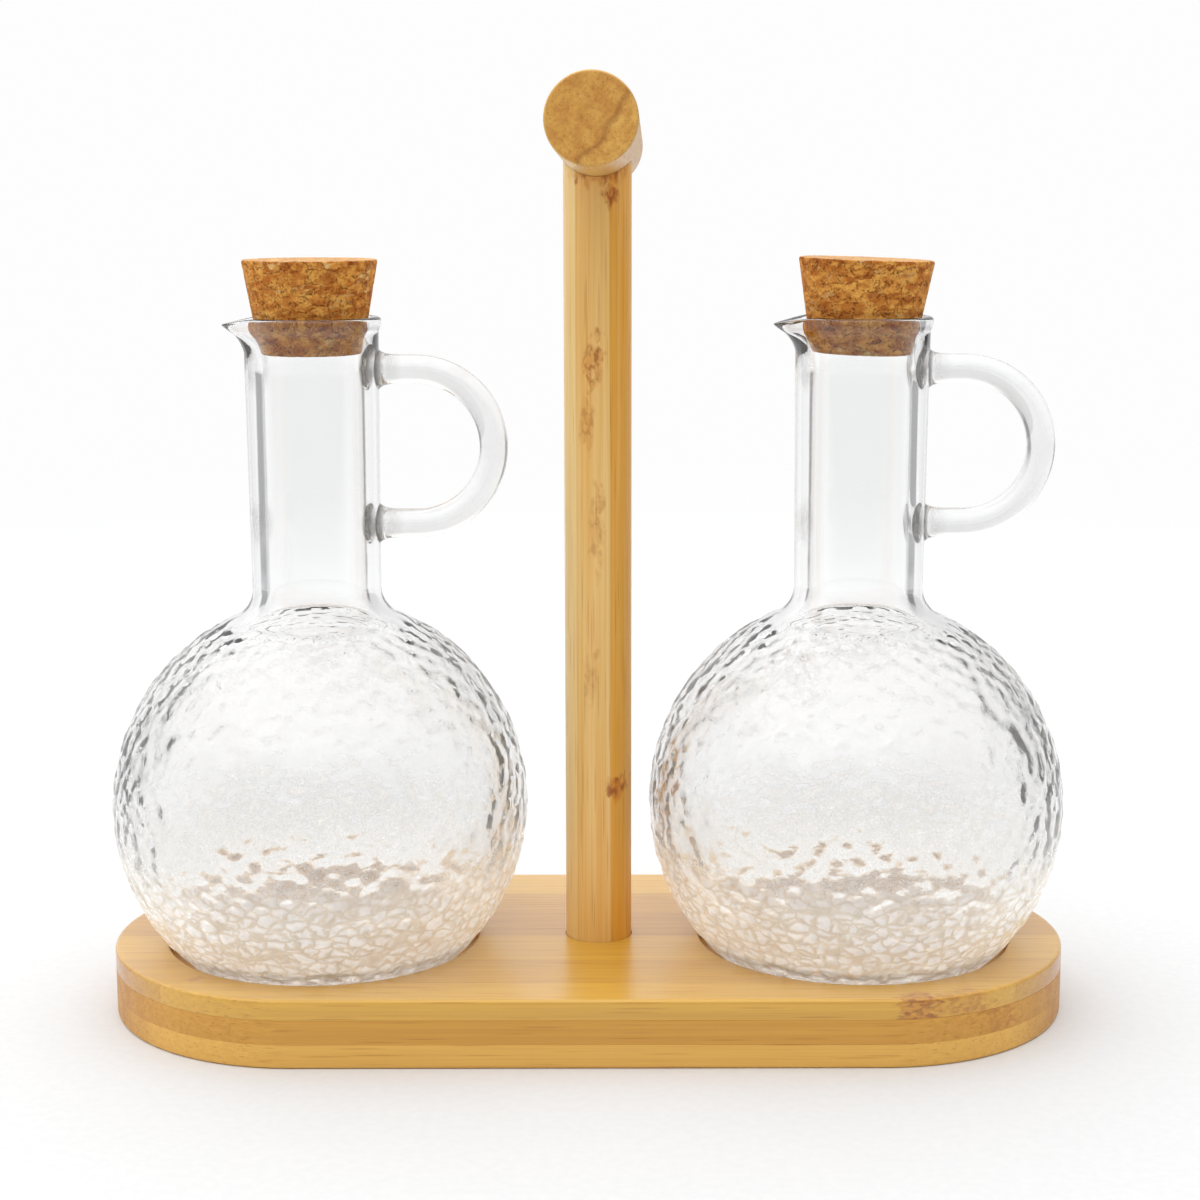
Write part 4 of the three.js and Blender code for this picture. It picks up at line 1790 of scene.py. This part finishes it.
    def _stopper(self) -> Array:
        """The stopper: a turned taper with a granular skin, leant about its seat.

        The skin is only ever pushed in, where noise of two sizes is low, so the taper's widest
        points stay where they are.

        Returns:
            The grid of points in the frame.
        """
        foot, edge = -self.cork_depth / 2, 0.5 * MM
        top = foot + self.cork_length
        low, high = self.cork_foot, self.cork_top
        profile = np.vstack([
            line((0, foot), (low - edge, foot), 24),
            line((low - 0.3 * edge, foot + 0.3 * edge), (low, foot + edge), 2),
            line((low, foot + 1.3 * edge), (high, top - 1.3 * edge), 64)[1:],
            line((high, top - edge), (high - 0.3 * edge, top - 0.3 * edge), 2)[1:],
            line((high - edge, top), (0, top), 28),
        ])
        grid = turned(profile, 260)
        seed = 41 if self.side is Side.LEFT else 43
        coarse = ValueNoise(1.7 * MM, seed).at(grid)
        fine = ValueNoise(0.7 * MM, seed + 1).at(grid)
        pits = np.minimum(coarse + 0.35, 0) * 0.32 * MM + np.minimum(fine + 0.2, 0) * 0.12 * MM
        outward = grid - np.array([0, 0, (foot + top) / 2])
        length = np.linalg.norm(outward, axis=-1, keepdims=True)
        grid = grid + outward / length * pits[..., None]
        turn = np.array(Matrix.Rotation(self.lean, 3, "Y").transposed())
        seat = self.origin + np.array([0, 0, self.height - self.cork_depth / 2])
        return grid @ turn + seat


# ---------------------------------------------------------------- the studio


@dataclass(frozen=True)
class Studio:
    """A pale floor, an even pale surround and the camera.

    Attributes:
        eye: The camera's place.
        pitch: Angle by which it looks down, in radians.
        yaw: Its turn to the left, in radians.
        roll: Its tilt, in radians.
        lens: Focal length in millimetres, for the sensor's width.
        sensor: The sensor's width in millimetres.
        white: Brightness of the empty surround.
        fade_start, fade_end: Distances between which the floor passes into the surround.
        bounces: How often light may pass through a surface before it is lost.
    """

    eye: tuple[float, float, float] = (3.4 * MM, -557 * MM, 204.2 * MM)
    pitch: float = math.radians(10.27)
    yaw: float = math.radians(0.035)
    roll: float = math.radians(0.1)
    lens: float = 68.16
    sensor: float = 36.0
    white: float = 0.985
    fade_start: float = 0.25
    fade_end: float = 1.1
    bounces: int = 32

    def build(self) -> None:
        """Makes floor, surround, view and camera."""
        self._floor()
        self._surround()
        self._camera()
        scene = bpy.context.scene
        scene.view_settings.view_transform = "Standard"
        scene.view_settings.look = "None"
        scene.cycles.max_bounces = self.bounces
        scene.cycles.transmission_bounces = self.bounces
        LOG.info("studio ready")

    def _floor(self) -> None:
        """A round matt floor whose shading passes into the surround's white far out.

        Glass and gloss see the far floor as the surround's light, darker ahead and at the flanks.
        """
        profile = np.array([(6.0, 0.0), (2.0, 0.0), (0.8, 0.0), (0.0, 0.0)])
        floor = make_mesh("floor", [turned(profile, 96)])
        g = Graph.of_material("floor")
        x, y, _ = g.split(g.node("TexCoord", output="Object"))
        paper = g.noise(g.place(NO_TURN, NO_TURN), 0.4, 3.0)
        colour = g.mix(paper.step(0.3, 0.7), (0.745, 0.747, 0.752, 1.0), (0.765, 0.767, 0.77, 1.0))
        matt = g.node("BsdfDiffuse", None, {"Color": colour})
        direct = g.node("LightPath", output="Is Camera Ray")
        dark = (0.0 - y).step(0.15, 0.7).most(self._flank(g, x, y) * 0.9)
        seen = g.mix(dark, (0.95, 0.95, 0.95, 1.0), (0.3, 0.3, 0.31, 1.0))
        white = (self.white, self.white, self.white, 1.0)
        glow = g.node("Emission", None, {"Color": g.mix(direct, seen, white)})
        far = g.length(x, y).step(self.fade_start, self.fade_end)
        blend = g.node("MixShader", None, {0: far, 1: matt, 2: glow})
        g.node("OutputMaterial", None, {"Surface": blend})
        floor.data.materials.append(g.owner)

    @staticmethod
    def _aside(g: Graph, x: Wire, y: Wire) -> Wire:
        """A direction's angle away from straight back, to either side, in radians."""
        return g.node("Math", {"operation": "ARCTAN2"}, {0: abs(x), 1: y})

    def _flank(self, g: Graph, x: Wire, y: Wire) -> Wire:
        """The narrow dark zone on either side, whose refraction draws the necks' inner walls."""
        aside = self._aside(g, x, y)
        return aside.step(0.72, 0.84) * aside.step(1.3, 1.1)

    def _surround(self) -> None:
        """The light all round: bright, brightest overhead and to the left.

        Softer darker bands lie to either side of the back, narrower ones near the ground beside
        them, and a broad one in front. A direct look sees an even white, so the bands show only
        in glass and gloss.
        """
        world = bpy.data.worlds.new("surround")
        bpy.context.scene.world = world
        g = Graph(world)
        x, y, z = g.split(g.node("TexCoord", output="Generated"))
        aside = self._aside(g, x, y)
        band = aside.step(0.72, 0.95) * aside.step(1.75, 1.35) * abs(z).step(0.85, 0.5)
        ahead = (0.0 - y).step(0.1, 0.6) * z.step(0.7, 0.35)
        flank = self._flank(g, x, y) * abs(z).step(0.3, 0.15)
        dark = (band * 0.35).most(ahead * 0.95).most(flank * 0.9)
        strength = (0.88 + z.step(0.3, 0.9) * 1.0) * (1.0 - x * 0.28)
        lit = g.mix(dark, (1.0, 1.0, 1.0, 1.0), (0.24, 0.24, 0.25, 1.0))
        shade = g.node("Background", None, {"Color": lit, "Strength": strength})
        white = (self.white, self.white, self.white, 1.0)
        plain = g.node("Background", None, {"Color": white, "Strength": 1.0})
        direct = g.node("LightPath", output="Is Camera Ray")
        both = g.node("MixShader", None, {0: direct, 1: shade, 2: plain})
        g.node("OutputWorld", None, {"Surface": both})

    def _camera(self) -> None:
        """The camera, level with the corks and looking a little down."""
        data = bpy.data.cameras.new("camera")
        data.lens = self.lens
        data.sensor_width = self.sensor
        data.clip_start = 0.01
        camera = bpy.data.objects.new("camera", data)
        camera.location = self.eye
        tilt = Matrix.Rotation(QUARTER - self.pitch, 4, "X")
        tilt = Matrix.Rotation(self.yaw, 4, "Z") @ tilt @ Matrix.Rotation(-self.roll, 4, "Z")
        camera.rotation_euler = tilt.to_euler()
        bpy.context.scene.collection.objects.link(camera)
        bpy.context.scene.camera = camera


def main() -> None:
    """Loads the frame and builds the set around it."""
    logging.basicConfig(level=logging.INFO, format="%(name)s: %(message)s")
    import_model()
    Studio().build()
    Board().build()
    bar = Crossbar()
    bar.build()
    Post(bar).build()
    left = Cruet(Side.LEFT, spin=0.3)
    right = Cruet(Side.RIGHT, lean=math.radians(2), spin=2.1)
    globe = (right.origin[0] / MM, (right.origin[2] + right.globe_height) / MM)
    handle = ((right.origin[2] + right.handle_middle) / MM, right.handle_bend / MM)
    glass = ClearGlass(globe, right.globe / MM, right.neck_high / MM, handle).material()
    left.build(glass, Cork().material())
    right.build(glass, Cork("pressed_cork_right", shift=(31.0, 12.0, 5.0)).material())


if __name__ == "__main__":
    main()
